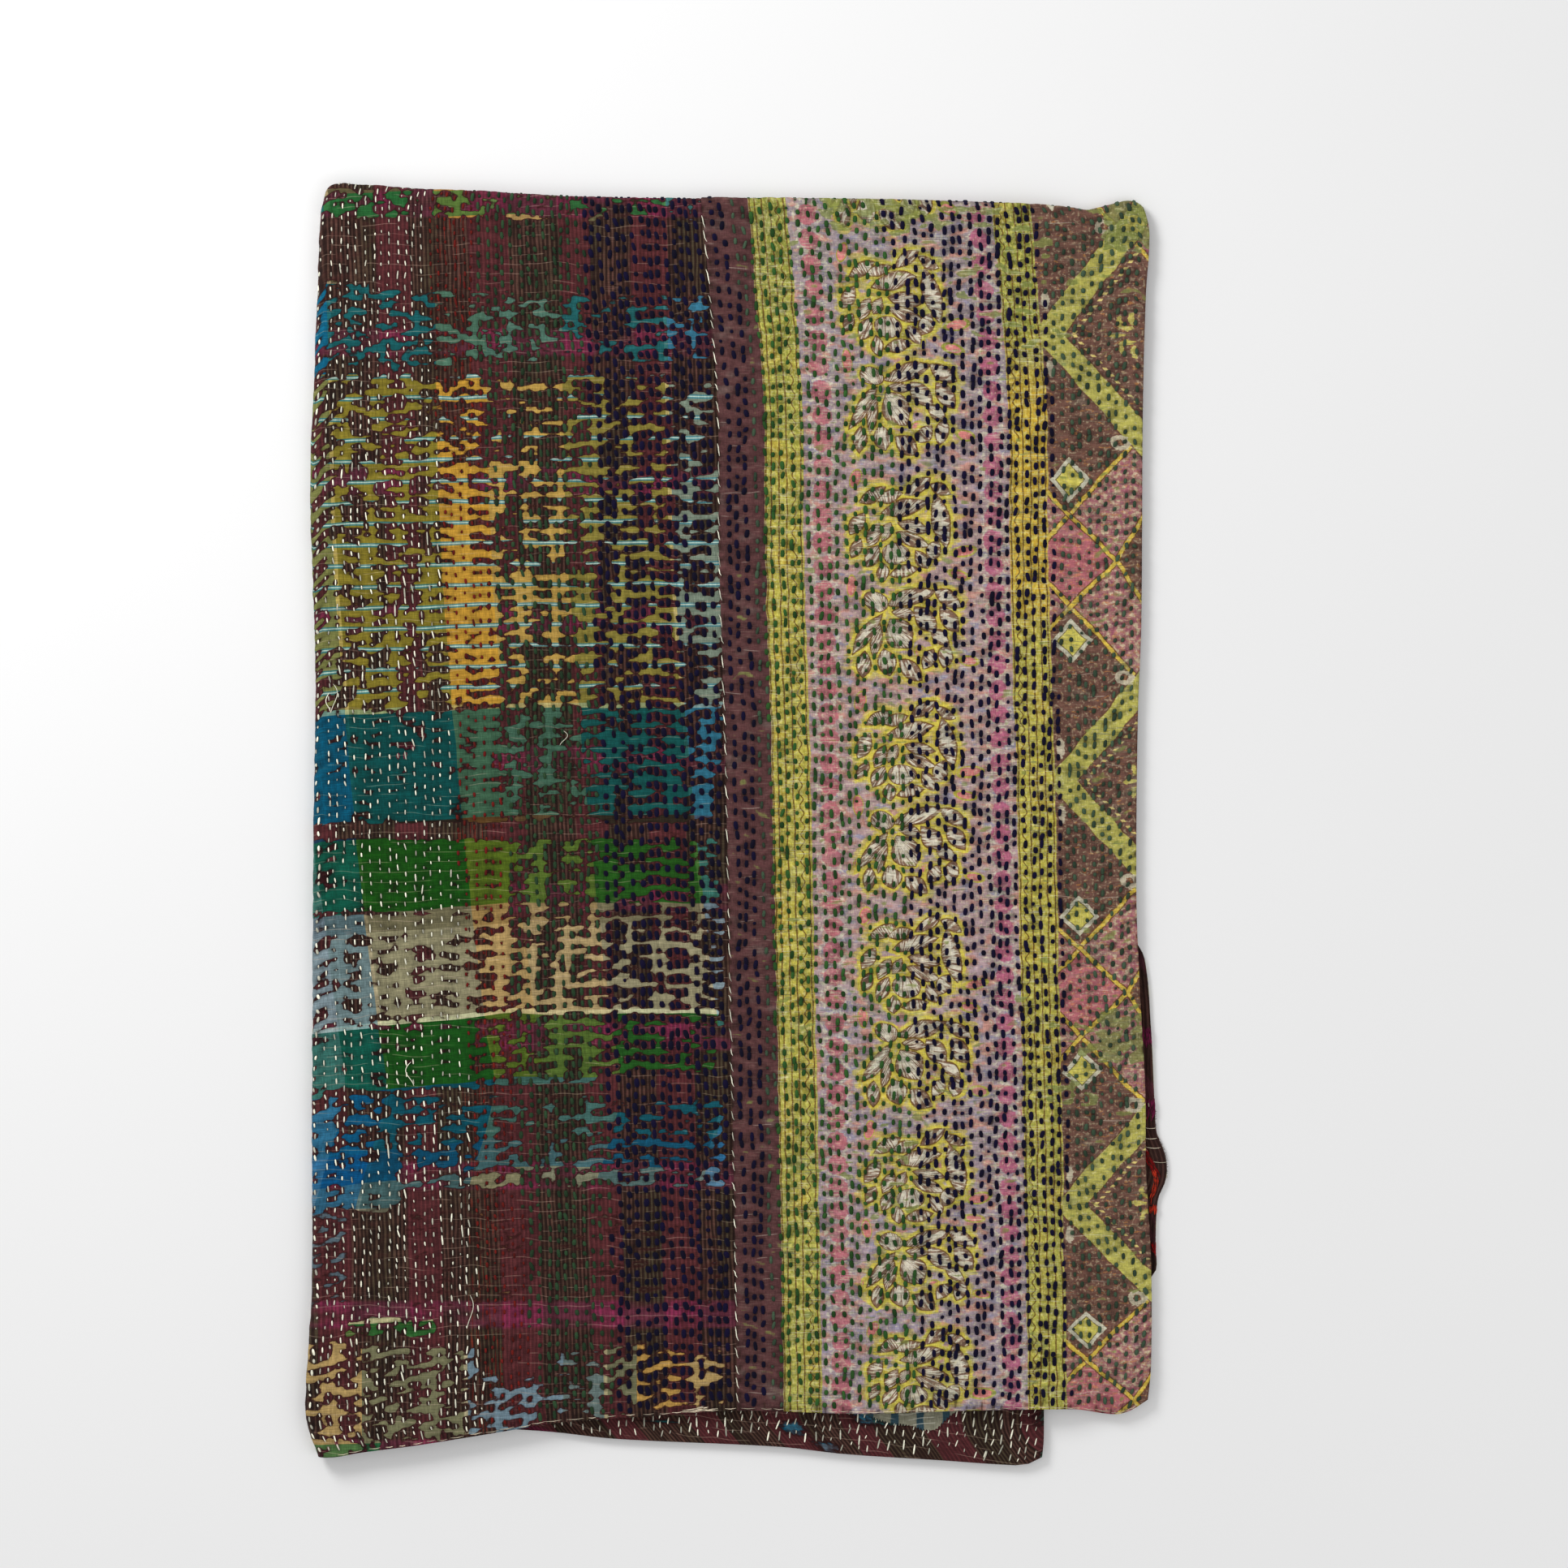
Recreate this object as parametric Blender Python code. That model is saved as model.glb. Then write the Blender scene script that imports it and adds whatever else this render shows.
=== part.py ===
"""A kantha quilt: a stitched cotton throw, folded in half across its length and
again across its width, lying flat on its underside.

Metres, +Z up. The long side lies along Y, the top fold is at +Y, the side fold
at -X, and the origin is the middle of the footprint, at the floor.

The four plies are, from the top: upper right way up, upper turned under, lower
turned under and lower right way up. The first two are the right half of the
cloth, the last two its left half.
"""

import math

import bpy

# The cloths
PLY = 0.0024  # quilted cloth: a plaid face, worn inner layers and a back
PANEL = 0.0010  # sari strip sewn on the right of the face
SCRAP = 0.0008  # torn lining that hangs out at the lower hem
SEAT = 0.0003  # between cloths that lie on each other
BACK_GAP = 0.0022  # between the two plies that meet back to back
FACE_GAP = 0.0025  # between the two plies that meet face to face

# The folds
TOP_RADIUS = (PLY + BACK_GAP) / 2  # of the top fold, at the middle of the ply
SIDE_RADIUS = TOP_RADIUS + (PLY + FACE_GAP) / 2  # of the side fold, between the upper plies
MID_HEIGHT = SIDE_RADIUS + TOP_RADIUS + PLY / 2  # of the side fold's axis above the floor
TOP_ARC = math.pi / 2 * TOP_RADIUS
SIDE_ARC = math.pi / 2 * SIDE_RADIUS
TOP_SETBACK = TOP_RADIUS + PLY / 2 + SEAT + PANEL  # from the outside of the fold to its axis
SIDE_SETBACK = MID_HEIGHT
TOP_STEPS = 6
SIDE_STEPS = 6

# The upper plies reach past the lower ones on the right, and sink to the floor there
DROOP_FROM = 0.6845
DROOP_OVER = 0.055
DROOP = 2 * SIDE_RADIUS - SEAT - PANEL

# The quilting: rows of running stitch that run up the cloth, with a ridge between rows
ROW_PITCH = 0.0082
RIDGE = 0.00032
RIDGE_STARTS = 2  # stations from the top fold to the ridges' full height

# Nominal reach of the flat part of the plies, which the outlines then bend
FLAT_X = {"upper": 0.769, "lower": 0.674}
FLAT_Y = 1.135
SEAM_SHARE = 0.5  # the station of the seam, as a share of the upper plies' flat part

# Outlines, as seen from above: distance along the edge, then the edge's place.
# The side fold's place in X, by the distance below the top fold
SIDE_FOLD = [
    (0.000, 0.0125),
    (0.019, 0.0068),
    (0.061, 0.0046),
    (0.144, 0.0015),
    (0.270, -0.0030),
    (0.437, 0.0015),
    (0.604, 0.0000),
    (0.855, -0.0015),
    (1.022, -0.0015),
    (1.106, -0.0068),
    (1.145, -0.0060),
    (1.175, 0.0040),
]
# The top fold's place in Y, by the distance from the side fold
TOP_FOLD = [
    (0.000, -0.0040),
    (0.012, 0.0100),
    (0.024, 0.0144),
    (0.040, 0.0137),
    (0.100, 0.0091),
    (0.161, 0.0068),
    (0.237, 0.0023),
    (0.374, 0.0000),
    (0.526, -0.0015),
    (0.648, -0.0053),
    (0.708, -0.0091),
    (0.724, -0.0112),
    (0.741, -0.0065),
    (0.766, -0.0023),
    (0.779, -0.0110),
]
# The seam of the sari strip, by the distance below the top fold
SEAM = [
    (0.000, 0.3630),
    (0.100, 0.3720),
    (0.200, 0.3790),
    (0.326, 0.3800),
    (0.522, 0.3860),
    (0.673, 0.3890),
    (0.844, 0.3925),
    (1.105, 0.3970),
    (1.175, 0.3975),
]
# The free side edges and the lower hems of the four plies
SIDE_EDGE = {
    ("upper", "over"): [
        (0.000, 0.7745),
        (0.015, 0.7790),
        (0.035, 0.7795),
        (0.080, 0.7765),
        (0.186, 0.7737),
        (0.395, 0.7722),
        (0.479, 0.7691),
        (0.646, 0.7676),
        (0.730, 0.7706),
        (0.832, 0.7760),
        (0.903, 0.7767),
        (0.992, 0.7813),
        (1.090, 0.7813),
        (1.135, 0.7770),
    ],
    ("upper", "under"): [
        (0.000, 0.7745),
        (0.080, 0.7755),
        (0.110, 0.7700),
        (0.640, 0.7620),
        (0.688, 0.7660),
        (0.707, 0.7770),
        (0.771, 0.7830),
        (0.855, 0.7870),
        (0.872, 0.7885),
        (0.888, 0.7950),
        (0.903, 0.7980),
        (0.918, 0.7965),
        (0.935, 0.7896),
        (0.980, 0.7874),
        (1.001, 0.7880),
        (1.014, 0.7790),
        (1.035, 0.7700),
        (1.135, 0.7690),
    ],
    ("lower", "under"): [(0.0, 0.6815), (0.6, 0.6810), (1.155, 0.6825), (1.185, 0.6800)],
    ("lower", "over"): [(0.0, 0.6815), (0.6, 0.6770), (1.185, 0.6790)],
}
LOWER_HEM = {
    ("upper", "over"): [
        (0.000, 1.1750),
        (0.018, 1.1742),
        (0.040, 1.1704),
        (0.100, 1.1628),
        (0.182, 1.1500),
        (0.223, 1.1430),
        (0.347, 1.1342),
        (0.397, 1.1312),
        (0.508, 1.1340),
        (0.605, 1.1312),
        (0.708, 1.1301),
        (0.746, 1.1354),
        (0.762, 1.1325),
        (0.779, 1.1215),
    ],
    ("upper", "under"): [(0.0, 1.1580), (0.182, 1.1400), (0.397, 1.1210), (0.779, 1.1130)],
    ("lower", "under"): [
        (0.000, 1.1580),
        (0.150, 1.1500),
        (0.220, 1.1530),
        (0.283, 1.1600),
        (0.435, 1.1674),
        (0.496, 1.1742),
        (0.587, 1.1800),
        (0.648, 1.1841),
        (0.668, 1.1838),
        (0.683, 1.1765),
    ],
    ("lower", "over"): [(0.0, 1.1750), (0.100, 1.1560), (0.283, 1.1400), (0.683, 1.1250)],
}

# Long shallow waves that the fingers leave in the pile: size, length along X and Y, and phase
WAVES = [
    (0.055, 0.62, 1.30, 0.4),
    (0.045, -0.90, 0.55, 2.1),
    (0.030, 0.37, -0.80, 4.0),
]

# The flat cells between the folds and the free edges, as shares of the flat part
LOWER_CELLS = [0.0, 0.14, 0.28, 0.42, 0.56, 0.70, 0.85, 0.95, 1.0]
PLAID_CELLS = [0.0, 0.2, 0.4, 0.6, 0.8, 1.0]
STRIP_CELLS = [0.0, 0.2, 0.4, 0.6, 0.755, 0.80, 0.84, 0.88, 0.93, 0.965, 1.0]
OVER_CELLS = [0.0, 0.015, 0.05, 0.13, 0.22, 0.31, 0.41, 0.52, 0.63, 0.74, 0.85, 0.94, 0.98, 1.0]
UNDER_CELLS = [0.0, 0.05, 0.16, 0.30, 0.45, 0.585, 0.605, 0.625, 0.68, 0.75, 0.775]
UNDER_CELLS += [0.795, 0.812, 0.83, 0.87, 0.885, 0.90, 0.93, 1.0]

# The torn lining: place along the lower hem, and how far it hangs out of it
SCRAP_REACH = [
    (0.508, 0.0005),
    (0.522, 0.0062),
    (0.540, 0.0118),
    (0.560, 0.0152),
    (0.570, 0.0190),
    (0.581, 0.0190),
    (0.587, 0.0140),
    (0.595, 0.0068),
    (0.605, 0.0005),
]
SCRAP_TUCK = 0.040  # how far it goes in between the upper plies
SCRAP_STEPS = 10
SCRAP_TURN = 0.012  # the run in which it falls from the hem to the ply below
SCRAP_CLEAR = 0.001  # how far past the upper turned ply's hem it starts to fall
SCRAP_SEAT = 0.0004  # between it and the ply it falls on

PLAID_COLOUR = (0.075, 0.034, 0.036, 1)
STRIP_COLOUR = (0.42, 0.36, 0.20, 1)
LINING_COLOUR = (0.33, 0.33, 0.28, 1)


def clear_scene():
    for old in list(bpy.data.objects):
        bpy.data.objects.remove(old)


def smooth(share):
    """0 to 1, level at both ends."""
    share = min(1.0, max(0.0, share))
    return share * share * (3 - 2 * share)


def mix(a, b, share):
    return a + (b - a) * share


def read(table, at):
    """The value of a table of (place, value) at a place, on a smooth curve through its rows."""
    at = min(table[-1][0], max(table[0][0], at))
    k = max(i for i in range(len(table) - 1) if table[i][0] <= at)

    def slope(i):
        before, after = table[max(0, i - 1)], table[min(len(table) - 1, i + 1)]
        return (after[1] - before[1]) / (after[0] - before[0])

    (x0, y0), (x1, y1) = table[k], table[k + 1]
    span = x1 - x0
    h = (at - x0) / span
    start = y0 * (1 + 2 * h) * (1 - h) ** 2 + y1 * h * h * (3 - 2 * h)
    return start + span * (slope(k) * h * (1 - h) ** 2 - slope(k + 1) * h * h * (1 - h))


def turn(station, arc, radius, setback, off):
    """One fold: the run from the outside of the fold and the height from its axis.

    station is the place along the cloth, 0 in the middle of the fold, and off is
    the height of a point above the middle of what is folded.
    """
    if abs(station) < arc:
        angle = station / radius
        return setback - (radius + off) * math.cos(angle), (radius + off) * math.sin(angle)
    return setback + abs(station) - arc, math.copysign(radius + off, station)


def edge(tables, half, way, station, arc, at, by_half):
    """An outline of the ply at a station, passing from one ply's to the other's in the fold."""
    this = read(tables[half, way], at)
    if abs(station) >= arc:
        return this
    other_half = {"upper": "lower", "lower": "upper"}[half] if by_half else half
    other_way = way if by_half else {"over": "under", "under": "over"}[way]
    other = read(tables[other_half, other_way], at)
    return mix((this + other) / 2, this, abs(station) / arc)


def point(across, along, off):
    """Where a point of the cloth lies once it is folded.

    across and along are its stations, positive on the upper plies and on those
    that lie right way up, and off is its height above the middle of the cloth.
    """
    half = "upper" if across >= 0 else "lower"
    way = "over" if along >= 0 else "under"
    run_y, height = turn(along, TOP_ARC, TOP_RADIUS, TOP_SETBACK, off)
    run_x, height = turn(across, SIDE_ARC, SIDE_RADIUS, SIDE_SETBACK, height)

    hem = edge(LOWER_HEM, half, way, across, SIDE_ARC, run_x, by_half=True)
    down = run_y
    if run_y > TOP_SETBACK:
        down = mix(TOP_SETBACK, hem, (run_y - TOP_SETBACK) / FLAT_Y)
    free = edge(SIDE_EDGE, half, way, along, TOP_ARC, down, by_half=False)
    fold, seam = read(SIDE_FOLD, down), read(SEAM, down)
    x = fold + run_x
    if run_x > SIDE_SETBACK:
        share = (run_x - SIDE_SETBACK) / FLAT_X[half]
        if half == "lower":
            x = mix(fold + SIDE_SETBACK, free, share)
        elif share <= SEAM_SHARE:
            x = mix(fold + SIDE_SETBACK, seam, share / SEAM_SHARE)
        else:
            x = mix(seam, free, (share - SEAM_SHARE) / (1 - SEAM_SHARE))
    y = read(TOP_FOLD, x) - run_y
    if run_y > TOP_SETBACK:
        y = mix(read(TOP_FOLD, x) - TOP_SETBACK, -hem, (run_y - TOP_SETBACK) / FLAT_Y)

    height += MID_HEIGHT
    if half == "upper":
        height -= DROOP * smooth((x - DROOP_FROM) / DROOP_OVER)
    return x, y, settled(x, y, height)


def settled(x, y, height):
    """A height in the pile once its long waves have lifted or pressed it."""
    share = 1.0
    for size, long_x, long_y, phase in WAVES:
        share += size * math.sin(2 * math.pi * (x / long_x + y / long_y) + phase)
    return height * share


def stations(arc, steps, negative, positive):
    """Stations from one free edge over the fold to the other."""
    below = [-(arc + run) for run in reversed(negative)]
    fold = [arc * (2 * k / steps - 1) for k in range(1, steps)]
    return below + fold + [arc + run for run in positive]


def upper_runs():
    """Runs of the upper plies' cells, with one on the seam."""
    flat, seam = FLAT_X["upper"], SEAM_SHARE
    plaid = [share * seam * flat for share in PLAID_CELLS]
    strip = [(seam + share * (1 - seam)) * flat for share in STRIP_CELLS]
    return plaid, strip


def across_stations():
    plaid, strip = upper_runs()
    lower = [share * FLAT_X["lower"] for share in LOWER_CELLS]
    return stations(SIDE_ARC, SIDE_STEPS, lower, plaid + strip[1:])


def along_stations():
    under = [share * FLAT_Y for share in UNDER_CELLS]
    over = [share * FLAT_Y for share in OVER_CELLS]
    return stations(TOP_ARC, TOP_STEPS, under, over)


class Sheet:
    """A closed sheet of cloth between two heights, with quilted ridges on part of its face."""

    def __init__(self, across, along, back, face, ridges):
        self.across, self.along = across, along
        self.first, self.last = ridges
        self.start = next(j for j, v in enumerate(along) if v >= TOP_ARC)
        self.points, self.faces = [], []
        self.back_grid = self.grid(back)
        self.face_grid = self.grid(face)
        self.edges = {}

    def add(self, place):
        self.points.append(place)
        return len(self.points) - 1

    def grid(self, off):
        return [[self.add(point(u, v, off)) for v in self.along] for u in self.across]

    def quilted(self, i):
        return self.first <= i < self.last

    def face_edge(self, i, j):
        """Points of the face from station i to the next, with the ridges where it has them."""
        ends = [self.face_grid[i][j], self.face_grid[i + 1][j]]
        if j < self.start or not self.quilted(i):
            return ends
        if (i, j) not in self.edges:
            a, b = (self.points[k] for k in ends)
            rows = max(1, round(math.dist(a[:2], b[:2]) / ROW_PITCH))
            if j > self.start:
                rows = (len(self.edges[i, self.start]) - 1) // 2
            inner = []
            for k in range(1, 2 * rows):
                x, y, z = (mix(p, q, k / (2 * rows)) for p, q in zip(a, b))
                lift = RIDGE * (1 if k % 2 else -1) * min(1, (j - self.start) / RIDGE_STARTS)
                inner.append(self.add((x, y, z + lift)))
            self.edges[i, j] = [ends[0], *inner, ends[1]]
        return self.edges[i, j]

    def join(self, near, far):
        """Faces between two rows of points: quads where they match, or a fan from two points."""
        if len(near) == len(far):
            pairs = zip(near, near[1:], far, far[1:])
            self.faces += [(a, b, d, c) for a, b, c, d in pairs]
            return
        if len(near) < len(far):
            near, far = far, near
        middle = (len(near) - 1) // 2
        self.faces += [(far[0], a, b) for a, b in zip(near[:middle], near[1:])]
        self.faces.append((far[0], near[middle], far[1]))
        self.faces += [(far[1], a, b) for a, b in zip(near[middle:], near[middle + 1 :])]

    def build(self):
        columns, rows = len(self.across) - 1, len(self.along) - 1
        for i in range(columns):
            for j in range(rows):
                self.join(self.face_edge(i, j), self.face_edge(i, j + 1))
                near = [self.back_grid[i][j], self.back_grid[i + 1][j]]
                self.join(near, [self.back_grid[i][j + 1], self.back_grid[i + 1][j + 1]])
            for j in (0, rows):
                self.join(self.face_edge(i, j), [self.back_grid[i][j], self.back_grid[i + 1][j]])
        for j in range(rows):
            for i in (0, columns):
                self.join(self.face_grid[i][j : j + 2], self.back_grid[i][j : j + 2])
        return self.points, self.faces


def quilted_ground():
    """The quilt itself, one cloth folded in four, ridged where its face shows."""
    across, along = across_stations(), along_stations()
    plaid, strip = upper_runs()
    last = len(across) - len(strip)
    return Sheet(across, along, -PLY / 2, PLY / 2, (last - len(plaid) + 1, last)).build()


def border_panel():
    """The sari strip on the right of the face, over the top fold and down behind it."""
    strip = upper_runs()[1]
    across = across_stations()[-len(strip) :]
    back = PLY / 2 + SEAT
    return Sheet(across, along_stations(), back, back + PANEL, (0, len(strip) - 1)).build()


def lining_scrap():
    """The torn lining, tucked between the upper plies and hanging over the lower hem."""
    inside = MID_HEIGHT + SIDE_RADIUS
    resting = MID_HEIGHT - SIDE_RADIUS + TOP_RADIUS + PLY / 2 + SCRAP_SEAT + SCRAP / 2
    hems = [LOWER_HEM["upper", way] for way in ("over", "under")]
    points, faces = [], []
    for x, reach in SCRAP_REACH:
        over, under = (read(hem, x) for hem in hems)
        for step in range(SCRAP_STEPS + 1):
            run = mix(over - SCRAP_TUCK, over + reach, step / SCRAP_STEPS)
            fallen = smooth((run - under - SCRAP_CLEAR) / SCRAP_TURN)
            middle = mix(inside, resting, fallen)
            for off in (-SCRAP / 2, SCRAP / 2):
                points.append((x, -run, settled(x, -run, middle + off)))

    def at(column, step, side):
        return 2 * (column * (SCRAP_STEPS + 1) + step) + side

    columns = len(SCRAP_REACH) - 1
    for i in range(columns):
        for j in range(SCRAP_STEPS):
            for side in (0, 1):
                ring = ((i, j), (i + 1, j), (i + 1, j + 1), (i, j + 1))
                faces.append(tuple(at(p, q, side) for p, q in ring))
        for j in (0, SCRAP_STEPS):
            faces.append((at(i, j, 0), at(i + 1, j, 0), at(i + 1, j, 1), at(i, j, 1)))
    for j in range(SCRAP_STEPS):
        for i in (0, columns):
            faces.append((at(i, j, 0), at(i, j + 1, 0), at(i, j + 1, 1), at(i, j, 1)))
    return points, faces


def cloth_material(name, colour):
    material = bpy.data.materials.new(name)
    material.use_nodes = True
    shader = material.node_tree.nodes["Principled BSDF"]
    shader.inputs["Base Color"].default_value = colour
    shader.inputs["Roughness"].default_value = 0.92
    shader.inputs["Metallic"].default_value = 0.0
    return material


def make_object(name, points, faces, colour, parent):
    mesh = bpy.data.meshes.new(name)
    mesh.from_pydata(points, [], faces)
    mesh.validate()
    made = bpy.data.objects.new(name, mesh)
    bpy.context.scene.collection.objects.link(made)
    bpy.context.view_layer.objects.active = made
    made.select_set(True)
    bpy.ops.object.mode_set(mode="EDIT")
    bpy.ops.mesh.select_all(action="SELECT")
    bpy.ops.mesh.normals_make_consistent(inside=False)
    bpy.ops.object.mode_set(mode="OBJECT")
    made.select_set(False)
    mesh.materials.append(cloth_material(name, colour))
    made.parent = parent
    return made


def main():
    clear_scene()
    pile = bpy.data.objects.new("folded_pile", None)
    bpy.context.scene.collection.objects.link(pile)
    made = [
        make_object("quilted_ground", *quilted_ground(), PLAID_COLOUR, pile),
        make_object("border_panel", *border_panel(), STRIP_COLOUR, pile),
        make_object("lining_scrap", *lining_scrap(), LINING_COLOUR, pile),
    ]
    # The outlines are measured from the corner of the folds, and the part from its middle.
    places = [v.co for piece in made for v in piece.data.vertices]
    for axis in (0, 1):
        values = [place[axis] for place in places]
        pile.location[axis] = -(min(values) + max(values)) / 2


main()
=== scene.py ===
"""Looks of the folded kantha quilt: worn plaid over a check, a printed sari strip, and stitches.

Positions on the cloth are stations: across it from the middle of the side fold, and
along it from the middle of the top fold, in metres. Patterns are laid out in
millimetres, from the corner of the two folds or from the seam of the strip.
"""

import math

import bpy
import numpy as np
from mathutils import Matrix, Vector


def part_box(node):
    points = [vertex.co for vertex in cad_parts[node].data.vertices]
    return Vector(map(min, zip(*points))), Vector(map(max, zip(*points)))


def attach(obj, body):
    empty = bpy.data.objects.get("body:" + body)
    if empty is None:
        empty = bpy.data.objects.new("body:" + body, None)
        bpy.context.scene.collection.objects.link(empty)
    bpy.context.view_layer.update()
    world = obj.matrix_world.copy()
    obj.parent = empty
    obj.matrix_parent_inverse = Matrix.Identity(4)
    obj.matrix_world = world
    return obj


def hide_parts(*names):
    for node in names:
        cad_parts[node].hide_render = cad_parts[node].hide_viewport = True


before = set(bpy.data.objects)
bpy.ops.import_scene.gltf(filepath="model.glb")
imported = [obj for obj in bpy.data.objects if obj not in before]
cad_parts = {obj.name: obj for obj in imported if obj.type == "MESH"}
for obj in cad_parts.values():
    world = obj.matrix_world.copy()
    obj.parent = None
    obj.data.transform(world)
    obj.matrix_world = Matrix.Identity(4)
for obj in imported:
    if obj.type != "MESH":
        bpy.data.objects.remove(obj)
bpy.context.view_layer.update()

MM = 0.001
TO_MM = (1 / MM, 1 / MM, 1 / MM)

# Sizes of the plies and folds, as in the solids
PLY = 0.0024
PANEL = 0.0010
SCRAP = 0.0008
SEAT = 0.0003
TOP_RADIUS = 0.0023
SIDE_RADIUS = 0.00475
MID_HEIGHT = SIDE_RADIUS + TOP_RADIUS + PLY / 2
TOP_ARC = math.pi / 2 * TOP_RADIUS
SIDE_ARC = math.pi / 2 * SIDE_RADIUS
TOP_SETBACK = TOP_RADIUS + PLY / 2 + SEAT + PANEL
SIDE_SETBACK = MID_HEIGHT
DROOP_FROM = 0.6845
DROOP_OVER = 0.055
DROOP = 2 * SIDE_RADIUS - SEAT - PANEL
FLAT_X = {"upper": 0.769, "lower": 0.674}
FLAT_Y = 1.135
SEAM_SHARE = 0.5
SEAM_AT = SIDE_ARC + SEAM_SHARE * FLAT_X["upper"]
SIDE_EDGE_AT = SIDE_ARC + FLAT_X["upper"]
HEM_AT = TOP_ARC + FLAT_Y
SEAM_LAP = 0.003  # the plaid runs on this far under the strip

# Outlines seen from above, as in the solids: distance along the edge, then the edge's place
SIDE_FOLD = [
    (0.000, 0.0125), (0.019, 0.0068), (0.061, 0.0046), (0.144, 0.0015), (0.270, -0.0030),
    (0.437, 0.0015), (0.604, 0.0000), (0.855, -0.0015), (1.022, -0.0015), (1.106, -0.0068),
    (1.145, -0.0060), (1.175, 0.0040),
]
TOP_FOLD = [
    (0.000, -0.0040), (0.012, 0.0100), (0.024, 0.0144), (0.040, 0.0137), (0.100, 0.0091),
    (0.161, 0.0068), (0.237, 0.0023), (0.374, 0.0000), (0.526, -0.0015), (0.648, -0.0053),
    (0.708, -0.0091), (0.724, -0.0112), (0.741, -0.0065), (0.766, -0.0023), (0.779, -0.0110),
]
SEAM = [
    (0.000, 0.3630), (0.100, 0.3720), (0.200, 0.3790), (0.326, 0.3800), (0.522, 0.3860),
    (0.673, 0.3890), (0.844, 0.3925), (1.105, 0.3970), (1.175, 0.3975),
]
SIDE_EDGE = {
    ("upper", "over"): [
        (0.000, 0.7745), (0.015, 0.7790), (0.035, 0.7795), (0.080, 0.7765), (0.186, 0.7737),
        (0.395, 0.7722), (0.479, 0.7691), (0.646, 0.7676), (0.730, 0.7706), (0.832, 0.7760),
        (0.903, 0.7767), (0.992, 0.7813), (1.090, 0.7813), (1.135, 0.7770),
    ],
    ("upper", "under"): [
        (0.000, 0.7745), (0.080, 0.7755), (0.110, 0.7700), (0.640, 0.7620), (0.688, 0.7660),
        (0.707, 0.7770), (0.771, 0.7830), (0.855, 0.7870), (0.872, 0.7885), (0.888, 0.7950),
        (0.903, 0.7980), (0.918, 0.7965), (0.935, 0.7896), (0.980, 0.7874), (1.001, 0.7880),
        (1.014, 0.7790), (1.035, 0.7700), (1.135, 0.7690),
    ],
    ("lower", "under"): [(0.0, 0.6815), (0.6, 0.6810), (1.155, 0.6825), (1.185, 0.6800)],
    ("lower", "over"): [(0.0, 0.6815), (0.6, 0.6770), (1.185, 0.6790)],
}
LOWER_HEM = {
    ("upper", "over"): [
        (0.000, 1.1750), (0.018, 1.1742), (0.040, 1.1704), (0.100, 1.1628), (0.182, 1.1500),
        (0.223, 1.1430), (0.347, 1.1342), (0.397, 1.1312), (0.508, 1.1340), (0.605, 1.1312),
        (0.708, 1.1301), (0.746, 1.1354), (0.762, 1.1325), (0.779, 1.1215),
    ],
    ("upper", "under"): [(0.0, 1.1580), (0.182, 1.1400), (0.397, 1.1210), (0.779, 1.1130)],
    ("lower", "under"): [
        (0.000, 1.1580), (0.150, 1.1500), (0.220, 1.1530), (0.283, 1.1600), (0.435, 1.1674),
        (0.496, 1.1742), (0.587, 1.1800), (0.648, 1.1841), (0.668, 1.1838), (0.683, 1.1765),
    ],
    ("lower", "over"): [(0.0, 1.1750), (0.100, 1.1560), (0.283, 1.1400), (0.683, 1.1250)],
}
WAVES = [
    (0.055, 0.62, 1.30, 0.4),
    (0.045, -0.90, 0.55, 2.1),
    (0.030, 0.37, -0.80, 4.0),
]
SCRAP_REACH = [
    (0.508, 0.0005), (0.522, 0.0062), (0.540, 0.0118), (0.560, 0.0152), (0.570, 0.0190),
    (0.581, 0.0190), (0.587, 0.0140), (0.595, 0.0068), (0.605, 0.0005),
]


def smooth(share):
    share = np.clip(share, 0.0, 1.0)
    return share * share * (3 - 2 * share)


def mix(a, b, share):
    return a + (b - a) * share


def read(table, at):
    """The values of a table of (place, value), on a smooth curve through its rows."""
    x, y = np.array(table, float).T
    near_x = np.concatenate((x[:1], x, x[-1:]))
    near_y = np.concatenate((y[:1], y, y[-1:]))
    slope = (near_y[2:] - near_y[:-2]) / (near_x[2:] - near_x[:-2])
    at = np.clip(at, x[0], x[-1])
    k = np.clip(np.searchsorted(x, at, "right") - 1, 0, len(x) - 2)
    span = x[k + 1] - x[k]
    h = (at - x[k]) / span
    level = y[k] * (1 + 2 * h) * (1 - h) ** 2 + y[k + 1] * h * h * (3 - 2 * h)
    return level + span * (slope[k] * h * (1 - h) ** 2 - slope[k + 1] * h * h * (1 - h))


def turn(station, arc, radius, setback, off):
    """One fold: the run from the outside of the fold and the height from its axis."""
    angle = np.clip(station / radius, -math.pi / 2, math.pi / 2)
    past = np.maximum(np.abs(station) - arc, 0)
    return setback - (radius + off) * np.cos(angle) + past, (radius + off) * np.sin(angle)


def of_ply(tables, upper, over, at):
    values = {key: read(table, at) for key, table in tables.items()}
    above = np.where(over, values["upper", "over"], values["upper", "under"])
    return np.where(upper, above, np.where(over, values["lower", "over"], values["lower", "under"]))


def edge(tables, upper, over, station, arc, at, by_half):
    """An outline of the ply at a station, passing from one ply's to the other's in the fold."""
    this = of_ply(tables, upper, over, at)
    other = of_ply(tables, upper ^ by_half, over ^ (not by_half), at)
    return mix((this + other) / 2, this, np.clip(np.abs(station) / arc, 0, 1))


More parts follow.
